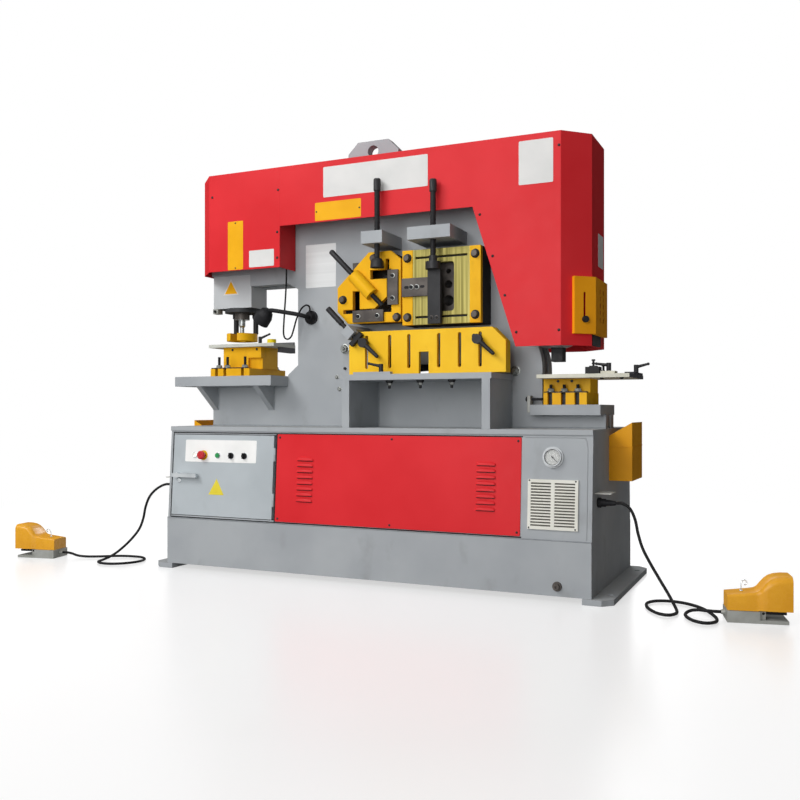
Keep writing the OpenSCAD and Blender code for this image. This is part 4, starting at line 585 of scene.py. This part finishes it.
# Pan head screws: four down the main hood's slanting edge, the rest at the hoods' corners and yellow plates
hood_screws = Shape()
edge_top, edge_run, edge_fall = (485, 1621), 192, 604
hood_spots = [(edge_top[0] + edge_run * f, edge_top[1] - edge_fall * f) for f in (0.06, 0.36, 0.64, 0.9)]
hood_spots += [(-512, 1793), (-517, 1594), (-517, 1472), (-890, 1793), (840, 1840), (840, 1080)]
for x, z in hood_spots:
    for side in (-1, 1):
        spot, pan = at(x, -side * HOOD_FRONT, z), [(6, 0), (5.6, 2), (3.6, 3.6), (0.1, 4)]
        turned(hood_screws, spot, (0, side, 0), pan, 16)
for x, z in ((-754, 1656), (-754, 1439), (-303, 1669), (-80, 1669)):
    turned(hood_screws, at(x, HOOD_FRONT - 0.6, z), FRONT, [(4, 0), (3.6, 1.4), (0.1, 2)], 14)
hood_screws.make("hood_screws", "black", "frame")

panel_screws = Shape()
for x in (-402, 155, 715):
    for s in (22, F_LEN - 26):
        turned(panel_screws, on_front(x, s, 3), F_OUT, [(5, 0), (4.6, 1.8), (3, 3), (0.1, 3.2)], 16)
for x in (765, 951):
    for s in (46, 232):
        turned(panel_screws, on_front(x, s, 7), F_OUT, [(3.5, 0), (3, 1.4), (0.1, 2)], 14)
panel_screws.make("panel_screws", "black", "frame")

drain = Shape()
turned(drain, at(881, -411, 62), FRONT, [(19, 0), (19, 4), (17.5, 6), (13, 6)], 28)
turned(drain, at(881, -411, 62), FRONT, [(13, 5), (13, 15), (11.5, 17), (6.5, 17), (6.2, 10), (0.1, 9.5)], 6)
drain.make("drain_plug", "dark", "frame")

# Weld beads where the body stands on the base and the tables meet the body
welds = Shape()
bead(welds, (-991, BODY_FRONT, BODY_FOOT), (-92, BODY_FRONT, BODY_FOOT))
bead(welds, (595, BODY_FRONT, BODY_FOOT), (1002, BODY_FRONT, BODY_FOOT))
bead(welds, (-991, BODY_BACK, BODY_FOOT), (1002, BODY_BACK, BODY_FOOT))
for x in (-90, -54, 557, 593):
    bead(welds, (x, BODY_FRONT, 676), (x, BODY_FRONT, 878), 3.5)
for x in (-989, -959, -657, -627):
    for y in (BODY_FRONT, BODY_BACK):
        bead(welds, (x, y, 752), (x, y, 866), 3.5)
for y in (BODY_FRONT, BODY_BACK):
    bead(welds, (-989, y, 868), (-549, y, 868), 3.5)
bead(welds, (732, BODY_FRONT, 729), (1000, BODY_FRONT, 729), 3.5)
bead(welds, (-1015, -FOOT_DEPTH / 2, PLINTH_TOP), (1015, -FOOT_DEPTH / 2, PLINTH_TOP), 1.6)
welds.make("weld_beads", "weld", "frame")

# Slats that close the vent grille's gaps, leaning back, in a grey of painted shade for the gaps' shadow
SLATS, SLAT_STEP, SLAT_LOW = 15, 11.79, 49.95
slats = Shape()
slant = F_UP * 0.72 - F_OUT * 0.69
for side in (-1, 1):
    for i in range(SLATS):
        s = SLAT_LOW + (i + 0.5) * SLAT_STEP
        rounded_plate(slats, on_front(860 + side * 48, s, 2.6), RIGHT, slant, 82, 10, 1.0, 0.4)
slats.make("grille_slats", "grille_gap", "frame")


# Red front panel with two rows of pressed louvres
LOUVRES, LOUVRE_STEP, LOUVRE_LOW = 8, 26, 103.9


def louvre(shape, x, s):
    """Pressed louvre: P(a, b) lies 42 cos a left, 15 k sin b up and 9.6 k cos b out, mm, k = sin(a)^0.4."""
    b = np.linspace(0, math.pi / 2, 9)[:, None]
    a = np.linspace(0, math.pi, 25)
    k = np.sin(a).clip(0, 1) ** 0.4
    skin = on_front(x - 42 * np.cos(a) + 0 * b, s + 15 * k * np.sin(b), 3 + 9.6 * k * np.cos(b))
    shape.sheet(skin, wrap=False, caps=False)


panel, mouth_shade = Shape(), Shape()
rounded_plate(panel, on_front(156.5, F_LEN / 2 - 1.5), RIGHT, F_UP, 1145, F_LEN - 19, 3, 5, 0.8)
for x in (-267, 581):
    for i in range(LOUVRES):
        s = LOUVRE_LOW + LOUVRE_STEP * i
        louvre(panel, x, s)
        # dark strip under each louvre's lower edge: painted shade of its open mouth and of the shadow below
        # it
        rounded_plate(mouth_shade, on_front(x, s + 1.5, 3), RIGHT, F_UP, 82, 10, 0.4, 4.4)
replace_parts(panel.make("louvred_panel", "red", "frame"), "front_panel")
mouth_shade.make("louvre_mouth_shade", "plastic", "frame")

# Black strips of painted shade in the gaps round the door and the red panel
gap_shade = Shape()
for s in (4, F_LEN - 8.5):
    rounded_plate(gap_shade, on_front(-134, s), RIGHT, F_UP, 1734, 5, 0.5, 1)
for x, wide in ((-1000.5, 4), (-420, 7)):
    rounded_plate(gap_shade, on_front(x, F_LEN / 2 - 2), RIGHT, F_UP, wide, F_LEN - 14, 0.5, 1)
gap_shade.make("door_gap_shade", "rubber", "frame")

# Pressed fold round the right cabinet face, and folds on the slug trays
fold = Shape()
fold_x, fold_down = np.array([(745, 10), (960, 10), (985, 16), (992, 40), (994, 90), (994, F_LEN - 8)]).T
swept(fold, even_steps(smooth_path(on_front(fold_x, F_LEN - fold_down), 8), 0.004), 2.4 * MM, 8)
fold.make("cabinet_fold", "grey", "frame")
tray_folds = Shape()
for side in (-1, 1):
    rounded_plate(tray_folds, at(side * 1062, -80, 598), RIGHT, UP, 92, 5, 1.6, 1.5, 0.5)
    rounded_plate(tray_folds, at(side * 1110, 40, 598), (0, side, 0), UP, 236, 5, 1.6, 1.5, 0.5)
tray_folds.make("tray_folds", "tray", "frame")


# Cast foot switch guards: arches with round shoulders, lofted along the pedal

# Each foot switch's place x, y and its turn in degrees
PEDALS = ((-1810, -416, 191.4), (1600, -405, 12.0))
GUARD_WALL = 4.0
# Stations along the guard, with the arch's height, half width and shoulder radius there
guard_x = np.array([-101, -60, -20, 0, 10, 20, 32, 46, 64, 88, 116.0])
guard_top = np.array([96, 101, 106, 110, 117, 130, 145, 157, 164, 167, 167.0])
guard_half = np.array([51, 52, 52.5, 53, 55.5, 59, 61, 61.5, 61.5, 61.5, 61.5])
guard_round = np.array([9, 10, 11, 13, 17, 22, 27, 29, 28, 26, 24.0])


def pedal_spot(i, x, y, z):
    """A point or grid of foot switch i from its own length, width and height (mm), in metres."""
    place_x, place_y, turn = PEDALS[i]
    c, s = math.cos(math.radians(turn)), math.sin(math.radians(turn))
    return np.stack(np.broadcast_arrays(place_x + x * c - y * s, place_y + x * s + y * c, z), -1) * MM


def guard_skin(i, x, inset):
    """Arches over foot switch i at stations x, drawn in by inset: up from the lower edge at both sides, and
    two quarter circles of the shoulder radius between the half width and the top. The lower edge steps up
    by 2.5 mm at x = 5, along a logistic curve."""
    x = x[:, None]
    half = np.interp(x, guard_x, guard_half) - inset
    top = np.interp(x, guard_x, guard_top) - inset
    r = np.interp(x, guard_x, guard_round) - inset * 0.5
    low = 42 + 2.5 / (1 + np.exp(-(x - 5) / 1.5))
    shoulder = np.linspace(0, 7 * math.pi / 16, 8)
    across = half - r + r * np.cos(shoulder)
    height = top - r + r * np.sin(shoulder)
    y = np.hstack([half, across, -across[:, ::-1], -half])
    z = np.hstack([low, height, height[:, ::-1], low])
    return pedal_spot(i, x, y, z)


guards, hooks = Shape(), Shape()
hook_wire = [(-48, 0, 99), (-48, 0, 118), (-46, 2, 132), (-38, 5, 141), (-29, 6, 136), (-30, 4, 126),
             (-37, 2, 124)]
for i in (0, 1):
    outer = guard_skin(i, np.concatenate([np.linspace(-101, 2, 18), np.linspace(6, 116, 40)]), 0.0)
    inner = guard_skin(i, np.linspace(116, 9, 24), GUARD_WALL)
    guards.sheet(outer, wrap=False, caps=False)
    guards.sheet(inner, wrap=False, caps=False)
    guards.sheet(np.array([outer[-1], inner[0]]), wrap=False, caps=False)
    guards.face(outer[0][::-1])
    guards.face(inner[-1])
    swept(hooks, smooth_path(pedal_spot(i, *np.array(hook_wire, float).T)), 2.2 * MM, 10)
    turned(hooks, pedal_spot(i, -48, 0, 101), UP, [(6, 0), (6, 3), (4, 5), (0.1, 5.2)], 18)
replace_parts(guards.make("pedal_guard_castings", "pedal", "frame", 60), "pedal_guards")
hooks.make("pedal_hooks", "chrome", "frame")

# Bare plates and films on the hoods, the body and the cylinder block
white_plates, yellow_plates, data_plate = Shape(), Shape(), Shape()
for x0, x1, z0, z1 in ((-267, 256, 1732, 1872), (669, 816, 1691, 1874), (-675, -535, 1436, 1516)):
    middle = at((x0 + x1) / 2, HOOD_FRONT, (z0 + z1) / 2)
    rounded_plate(white_plates, middle, RIGHT, UP, x1 - x0, z1 - z0, 0.9, 5)
rounded_plate(white_plates, at(953, 46, 1436), BACK, UP, 100, 142, 0.8, 5)
for x0, x1, z0, z1 in ((-798, -710, 1430, 1665), (-311, -72, 1627, 1711)):
    middle = at((x0 + x1) / 2, HOOD_FRONT, (z0 + z1) / 2)
    rounded_plate(yellow_plates, middle, RIGHT, UP, x1 - x0, z1 - z0, 0.6, 5)
rounded_plate(data_plate, at(-363, BODY_FRONT, 1445), RIGHT, UP, 166, 208, 1.0, 4)
white_plates.make("white_plates", "plate", "frame")
yellow_plates.make("yellow_plates", "amber_film", "frame")
data_plate.make("data_plate", "data", "frame")
CORNER_UP = -math.pi / 2
triangle, border = Shape(), Shape()
turned(border, at(-890, -70, 1360), FRONT, [(54, 0), (54, 0.4)], 3, CORNER_UP)
turned(triangle, at(-890, -70.4, 1360), FRONT, [(43, 0), (43, 0.4)], 3, CORNER_UP)
border.make("housing_triangle_border", "plate", "frame")
triangle.make("housing_triangle", "amber_film", "frame")

# Door fittings: control plate, film, bezels, pilot lamp, stop ring, lock
CONTROL_S = F_LEN - 114
PILOT_X, STOP_X, BUTTONS_X = -870, -822, (-741, -665, -592)
control_plate, triangle, bezels, pilot, stop_ring, lock = [Shape() for _ in range(6)]
rounded_plate(control_plate, on_front(-728, CONTROL_S + 20), RIGHT, F_UP, 400, 104, 0.8, 6)
turned(triangle, on_front(-743, 140), F_OUT, [(50, 0), (50, 0.6)], 3, CORNER_UP)
bezel = [(15, 0), (15, 2), (13.5, 3.4), (11.3, 3.4), (11.3, 0)]
for x in BUTTONS_X:
    turned(bezels, on_front(x, CONTROL_S, 0.2), F_OUT, bezel, 28)
socket = [(14, 0), (14, 4), (12, 6), (10.5, 6), (10.5, 0)]
turned(bezels, on_front(PILOT_X, CONTROL_S, 0.2), F_OUT, socket, 28)
lens = [(10.3, 0), (10.3, 7), (8, 11), (4, 13), (0.1, 13.6)]
turned(pilot, on_front(PILOT_X, CONTROL_S, 0.4), F_OUT, lens, 24)
collar = [(23, 0), (23, 1.6), (22, 2.2), (13, 2.2), (13, 0)]
turned(stop_ring, on_front(STOP_X, CONTROL_S, 0.2), F_OUT, collar, 32)
turned(lock, on_front(-956, F_LEN - 236), F_OUT, [(11, 0), (11, 4), (9, 6), (0.1, 6.2)], 24)
control_plate.make("control_plate", "control", "door")
triangle.make("door_triangle", "film", "door")
bezels.make("button_bezels", "chrome", "door")
pilot.make("pilot_lamp", "lens", "door")
stop_ring.make("stop_ring", "ring", "door")
lock.make("door_lock", "chrome", "door")

# Gauge: dial, black rim, which is partly painted shade at the dial's edge, 27 divisions over three quarters
# of a turn, and its glass
GAUGE_X, GAUGE_S = 858, F_LEN - 88
TICKS, LONG_EVERY = 28, 3
dial, rim, ticks, glass = [Shape() for _ in range(4)]
turned(dial, on_front(GAUGE_X, GAUGE_S, 10.05), F_OUT, [(31.6, 0), (31.6, 0.15), (0.1, 0.2)], 40)
# black rim ring, partly a rim and partly painted shade on the dial's edge
turned(rim, on_front(GAUGE_X, GAUGE_S, 10.1), F_OUT, [(31.8, 0), (31.8, 3), (29.6, 1.2), (29.6, 0)], 40)
for k in range(TICKS):
    a = math.radians(-45 + 270 * k / (TICKS - 1))
    ray = np.array(RIGHT) * math.cos(a) + F_UP * math.sin(a)
    reach, long = (26.5, 4) if k % LONG_EVERY else (25, 7)
    middle = on_front(GAUGE_X, GAUGE_S, 10.3) + ray * reach * MM
    rounded_plate(ticks, middle, np.cross(ray, F_OUT), ray, 0.9, long, 0.1, 0.3)
turned(glass, on_front(GAUGE_X, GAUGE_S, 15.2), F_OUT, [(31.5, 0), (31.5, 1.4), (0.1, 1.6)], 40)
dial.make("gauge_dial", "dial", "frame")
rim.make("gauge_rim", "black", "frame")
ticks.make("gauge_ticks", "black", "frame")
glass.make("gauge_glass", "glass", "frame")

# Threaded hold-down screws in place of the plain CAD spindles
SPINDLE_Y, SPINDLE_R = -260, 12.95
grip = [(11, -1), (16, 0), (16, 50), (13, 54), (0.1, 54)]
angle_screw, bar_screw, corner_stop = [Shape() for _ in range(3)]
threaded(angle_screw, at(26, SPINDLE_Y, 1404.4), UP, 322, SPINDLE_R)
turned(angle_screw, at(26, SPINDLE_Y, 1726), UP, grip, 32)
threaded(bar_screw, at(295, SPINDLE_Y, 1418), UP, 280, SPINDLE_R)
collar = [(12.9, 0), (12.9, 24), (18, 24.2), (18, 50), (12.9, 50)]
turned(bar_screw, at(295, SPINDLE_Y, 1368.4), UP, collar, 32)
turned(bar_screw, at(295, SPINDLE_Y, 1696), UP, grip, 32)
slope = unit((1, 0, -1))
corner = np.array([-59, -232, 1315])
threaded(corner_stop, (corner - slope * 78) * MM, slope, 216, 10.95, 4.0, 1.1)
handle = [(0.1, 0), (10.5, 0), (12.5, 3), (12.5, 152), (10.5, 156)]
turned(corner_stop, (corner - slope * 232) * MM, slope, handle, 28)
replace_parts(angle_screw.make("angle_screw_thread", "black", "angle_screw"), "angle_spindle")
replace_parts(bar_screw.make("bar_screw_thread", "black", "bar_screw"), "section_spindle")
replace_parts(corner_stop.make("corner_stop_thread", "black", "corner_stop"), "corner_spindle")

# Ram nut's knurl: radius 37.2 plus 0.9 mm where two crossing sets of 36 waves are both high
knurl = Shape()
a = np.arange(72) / 72 * TAU
h = np.linspace(0, 44, 23)[:, None]
r = 37.2 + 0.9 * np.abs(np.sin(18 * a + h * 0.28)) * np.abs(np.sin(18 * a - h * 0.28))
knurl.sheet(np.stack([-870 + r * np.cos(a), r * np.sin(a), 1212 + h + 0 * a], -1) * MM)
knurl.make("ram_knurl", "dark", "ram")

# Work lamp: ribbed neck, light inside of the shade, bulb
LAMP = np.array([-413, -80, 1197])
neck_points = [(0, -32, 0), (0, -55, 0), (-12, -72, 5), (-42, -86, 12), (-87, -98, 20), (-132, -107, 28),
               (-162, -111, 32), (-181, -112, 27)]
neck, liner, bulb = [Shape() for _ in range(3)]
swept(neck, even_steps(smooth_path((LAMP + neck_points) * MM), 0.0015), 9.3 * MM, 16, (0.0012, 0.006))
shade, aim = (LAMP + neck_points[-1]) * MM, (-0.665, 0.070, -0.743)
turned(liner, shade, aim, [(39.5, 66.2), (37.6, 66.2), (36.2, 27), (26, 5.5), (0.1, 5.2)], 32)
turned(bulb, shade, aim, [(8, 6), (9, 16), (15, 26), (17, 36), (14, 45), (7, 50), (0.1, 51.5)], 24)
neck.make("lamp_neck", "plastic", "frame")
liner.make("lamp_liner", "cast", "frame")
bulb.make("lamp_bulb", "lens", "frame")

# Free cords on the CAD's own routes: two from the cabinet's ends to the foot switches, one to the lamp
CABINET_END = np.array([1015, 0, 0])
right_points = [(70, -300, 385), (96, -300, 385), (125, -300, 367), (145, -300, 325), (157, -302, 270),
                (175, -306, 215), (205, -312, 160), (240, -322, 105), (275, -340, 55), (301, -368, 20),
                (315, -405, 7), (317, -450, 7), (297, -487, 7), (261, -478, 7), (225, -430, 7),
                (200, -370, 7), (193, -310, 7), (213, -262, 7), (260, -240, 7), (317, -250, 7),
                (370, -290, 7), (410, -345, 7), (440, -410, 7), (461, -475, 7), (461, -530, 7),
                (431, -560, 7), (390, -540, 7), (361, -490, 7), (351, -450, 9), (363, -424, 16),
                (390, -424, 22), (419, -434, 24)]
left_points = [(-70, -300, 385), (-96, -300, 385), (-130, -300, 374), (-170, -300, 350), (-203, -301, 315),
               (-225, -302, 265), (-237, -304, 210), (-260, -308, 155), (-305, -318, 100), (-355, -338, 50),
               (-390, -368, 19), (-403, -410, 7), (-385, -458, 7), (-337, -486, 7), (-277, -478, 7),
               (-227, -432, 7), (-207, -368, 7), (-225, -308, 7), (-275, -268, 7), (-335, -262, 7),
               (-395, -280, 8), (-447, -312, 8), (-495, -345, 8), (-547, -368, 8), (-591, -382, 12),
               (-627, -386, 21)]
lamp_points = [(-100, -70, 243), (-100, -70, 193), (-104, -70, 113), (-110, -70, 33), (-115, -70, -37),
               (-116, -70, -77), (-109, -69, -99), (-93, -66, -105), (-77, -62, -91), (-67, -57, -57),
               (-55, -50, -7), (-37, -40, 38), (-19, -28, 58), (-5, -21, 55), (0, -20, 43), (0, -20, 32)]
# The last two points of a foot switch's cord, straight into its rear boss
boss = [pedal_spot(i, np.array([-140.5, -116.5]), 0, 24) / MM for i in (0, 1)]
routes = {
    "right_pedal_cord": (np.vstack([right_points + CABINET_END, boss[1]]), 12, "loose"),
    "left_pedal_cord": (np.vstack([left_points - CABINET_END, boss[0]]), 12, "loose"),
    "lamp_cord": (lamp_points + LAMP, 8, "hanging"),
}
for node, (points, wide, lay) in routes.items():
    path = smooth_path(points * MM, 5)
    cord = Shape()
    swept(cord, path, wide / 2 * MM)
    sheath = cord.make(node + "_sheath", "rubber", "frame")
    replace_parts(sheath, node)

# Stage: pale floor, soft light, camera at the photograph's viewing angle
scene = bpy.context.scene
scene.view_settings.view_transform = "Standard"


def seen_rays(tree):
    """1 for rays from the camera, and for those it sends on through metal and glass, else 0."""
    rays = add_node(tree, "LightPath").outputs
    seen = rays["Is Camera Ray"]
    for way in ("Is Transmission Ray", "Is Glossy Ray"):
        seen = add_node(tree, "Math", {0: seen, 1: rays[way]}, operation="MAXIMUM").outputs[0]
    return seen


def floor_material(lift, near_m, far_m):
    """Pale sealed floor with a soft sheen near the object, which fades to the background's white between
    near_m and far_m from the middle. It is seen brighter by lift than it lights the object."""
    made, tree = empty_material("pale studio floor")
    where = add_node(tree, "TexCoord").outputs["Object"]
    clouds = add_node(tree, "TexNoise", {"Vector": where, "Scale": 2.0})
    tone = add_node(tree, "Mix", {0: clouds.outputs["Fac"], 6: linear("#8f8f8f"), 7: linear("#8b8b8b")},
                    data_type="RGBA")
    paint = add_node(tree, "BsdfPrincipled", {"Base Color": tone.outputs[2], "Roughness": 0.3,
                                              "Specular IOR Level": 0.35})
    seen = seen_rays(tree)
    away = add_node(tree, "VectorMath", {0: where}, operation="LENGTH").outputs["Value"]
    fade = add_node(tree, "MapRange", {"Value": away, "From Min": near_m, "From Max": far_m})
    far = add_node(tree, "Math", {0: fade.outputs[0], 1: seen}, operation="MULTIPLY")
    extra = add_node(tree, "Math", {0: seen, 1: lift}, operation="MULTIPLY")
    glow = add_node(tree, "Emission", {"Strength": extra.outputs[0]})
    near = add_node(tree, "AddShader", {0: paint.outputs[0], 1: glow.outputs[0]})
    white = add_node(tree, "Emission")
    both = add_node(tree, "MixShader", {0: far.outputs[0], 1: near.outputs[0], 2: white.outputs[0]})
    add_node(tree, "OutputMaterial", {"Surface": both.outputs[0]})
    return made


FLOOR_HALF, FLOOR_Z = 30, -0.0005
floor_mesh = bpy.data.meshes.new("floor")
corners = np.array([(-1, -1, 0), (1, -1, 0), (1, 1, 0), (-1, 1, 0)]) * FLOOR_HALF + (0, 0, FLOOR_Z)
floor_mesh.from_pydata(corners.tolist(), [], [(0, 1, 2, 3)])
floor_mesh.materials.append(floor_material(0.62, 2.2, 4.2))
floor = bpy.data.objects.new("floor", floor_mesh)
scene.collection.objects.link(floor)

# The world is white where it is seen, and gives little light of its own
world = bpy.data.worlds.new("studio")
scene.world = world
world.use_nodes = True
tree = world.node_tree
tree.nodes.clear()
level = add_node(tree, "MapRange", {"Value": seen_rays(tree), "To Min": 0.08, "To Max": 1.0})
white = add_node(tree, "Background", {"Color": linear("#ffffff"), "Strength": level.outputs[0]})
add_node(tree, "OutputWorld", {"Surface": white.outputs[0]})


def soft_light(name, place, target, size, power):
    """Square light at a place, facing a target."""
    data = bpy.data.lights.new(name, "AREA")
    data.size = size
    data.energy = power
    made = bpy.data.objects.new(name, data)
    scene.collection.objects.link(made)
    x, y, z = np.subtract(target, place)
    made.location = place
    made.rotation_euler = (math.atan2(math.hypot(x, y), -z), 0, math.atan2(-x, y))


soft_light("key", (-3.2, -4.8, 5.0), (0, 0, 0.9), 2.4, 205)
soft_light("front", (0.1, -6.5, 2.4), (0, 0, 1.0), 4.0, 235)
soft_light("top", (0.0, -0.5, 5.0), (0, 0, 0), 4.0, 40)
soft_light("back", (-1.2, 5.6, 3.2), (0, 0, 0.9), 2.6, 190)

camera = bpy.data.cameras.new("photo")
camera.lens = 40.38
camera.sensor_width = 36
camera.shift_y = 0.013
view = bpy.data.objects.new("photo", camera)
scene.collection.objects.link(view)
view.location = (1.777, -3.850, 0.749)
view.rotation_euler = (math.radians(90), 0, math.radians(24.54))
scene.camera = view
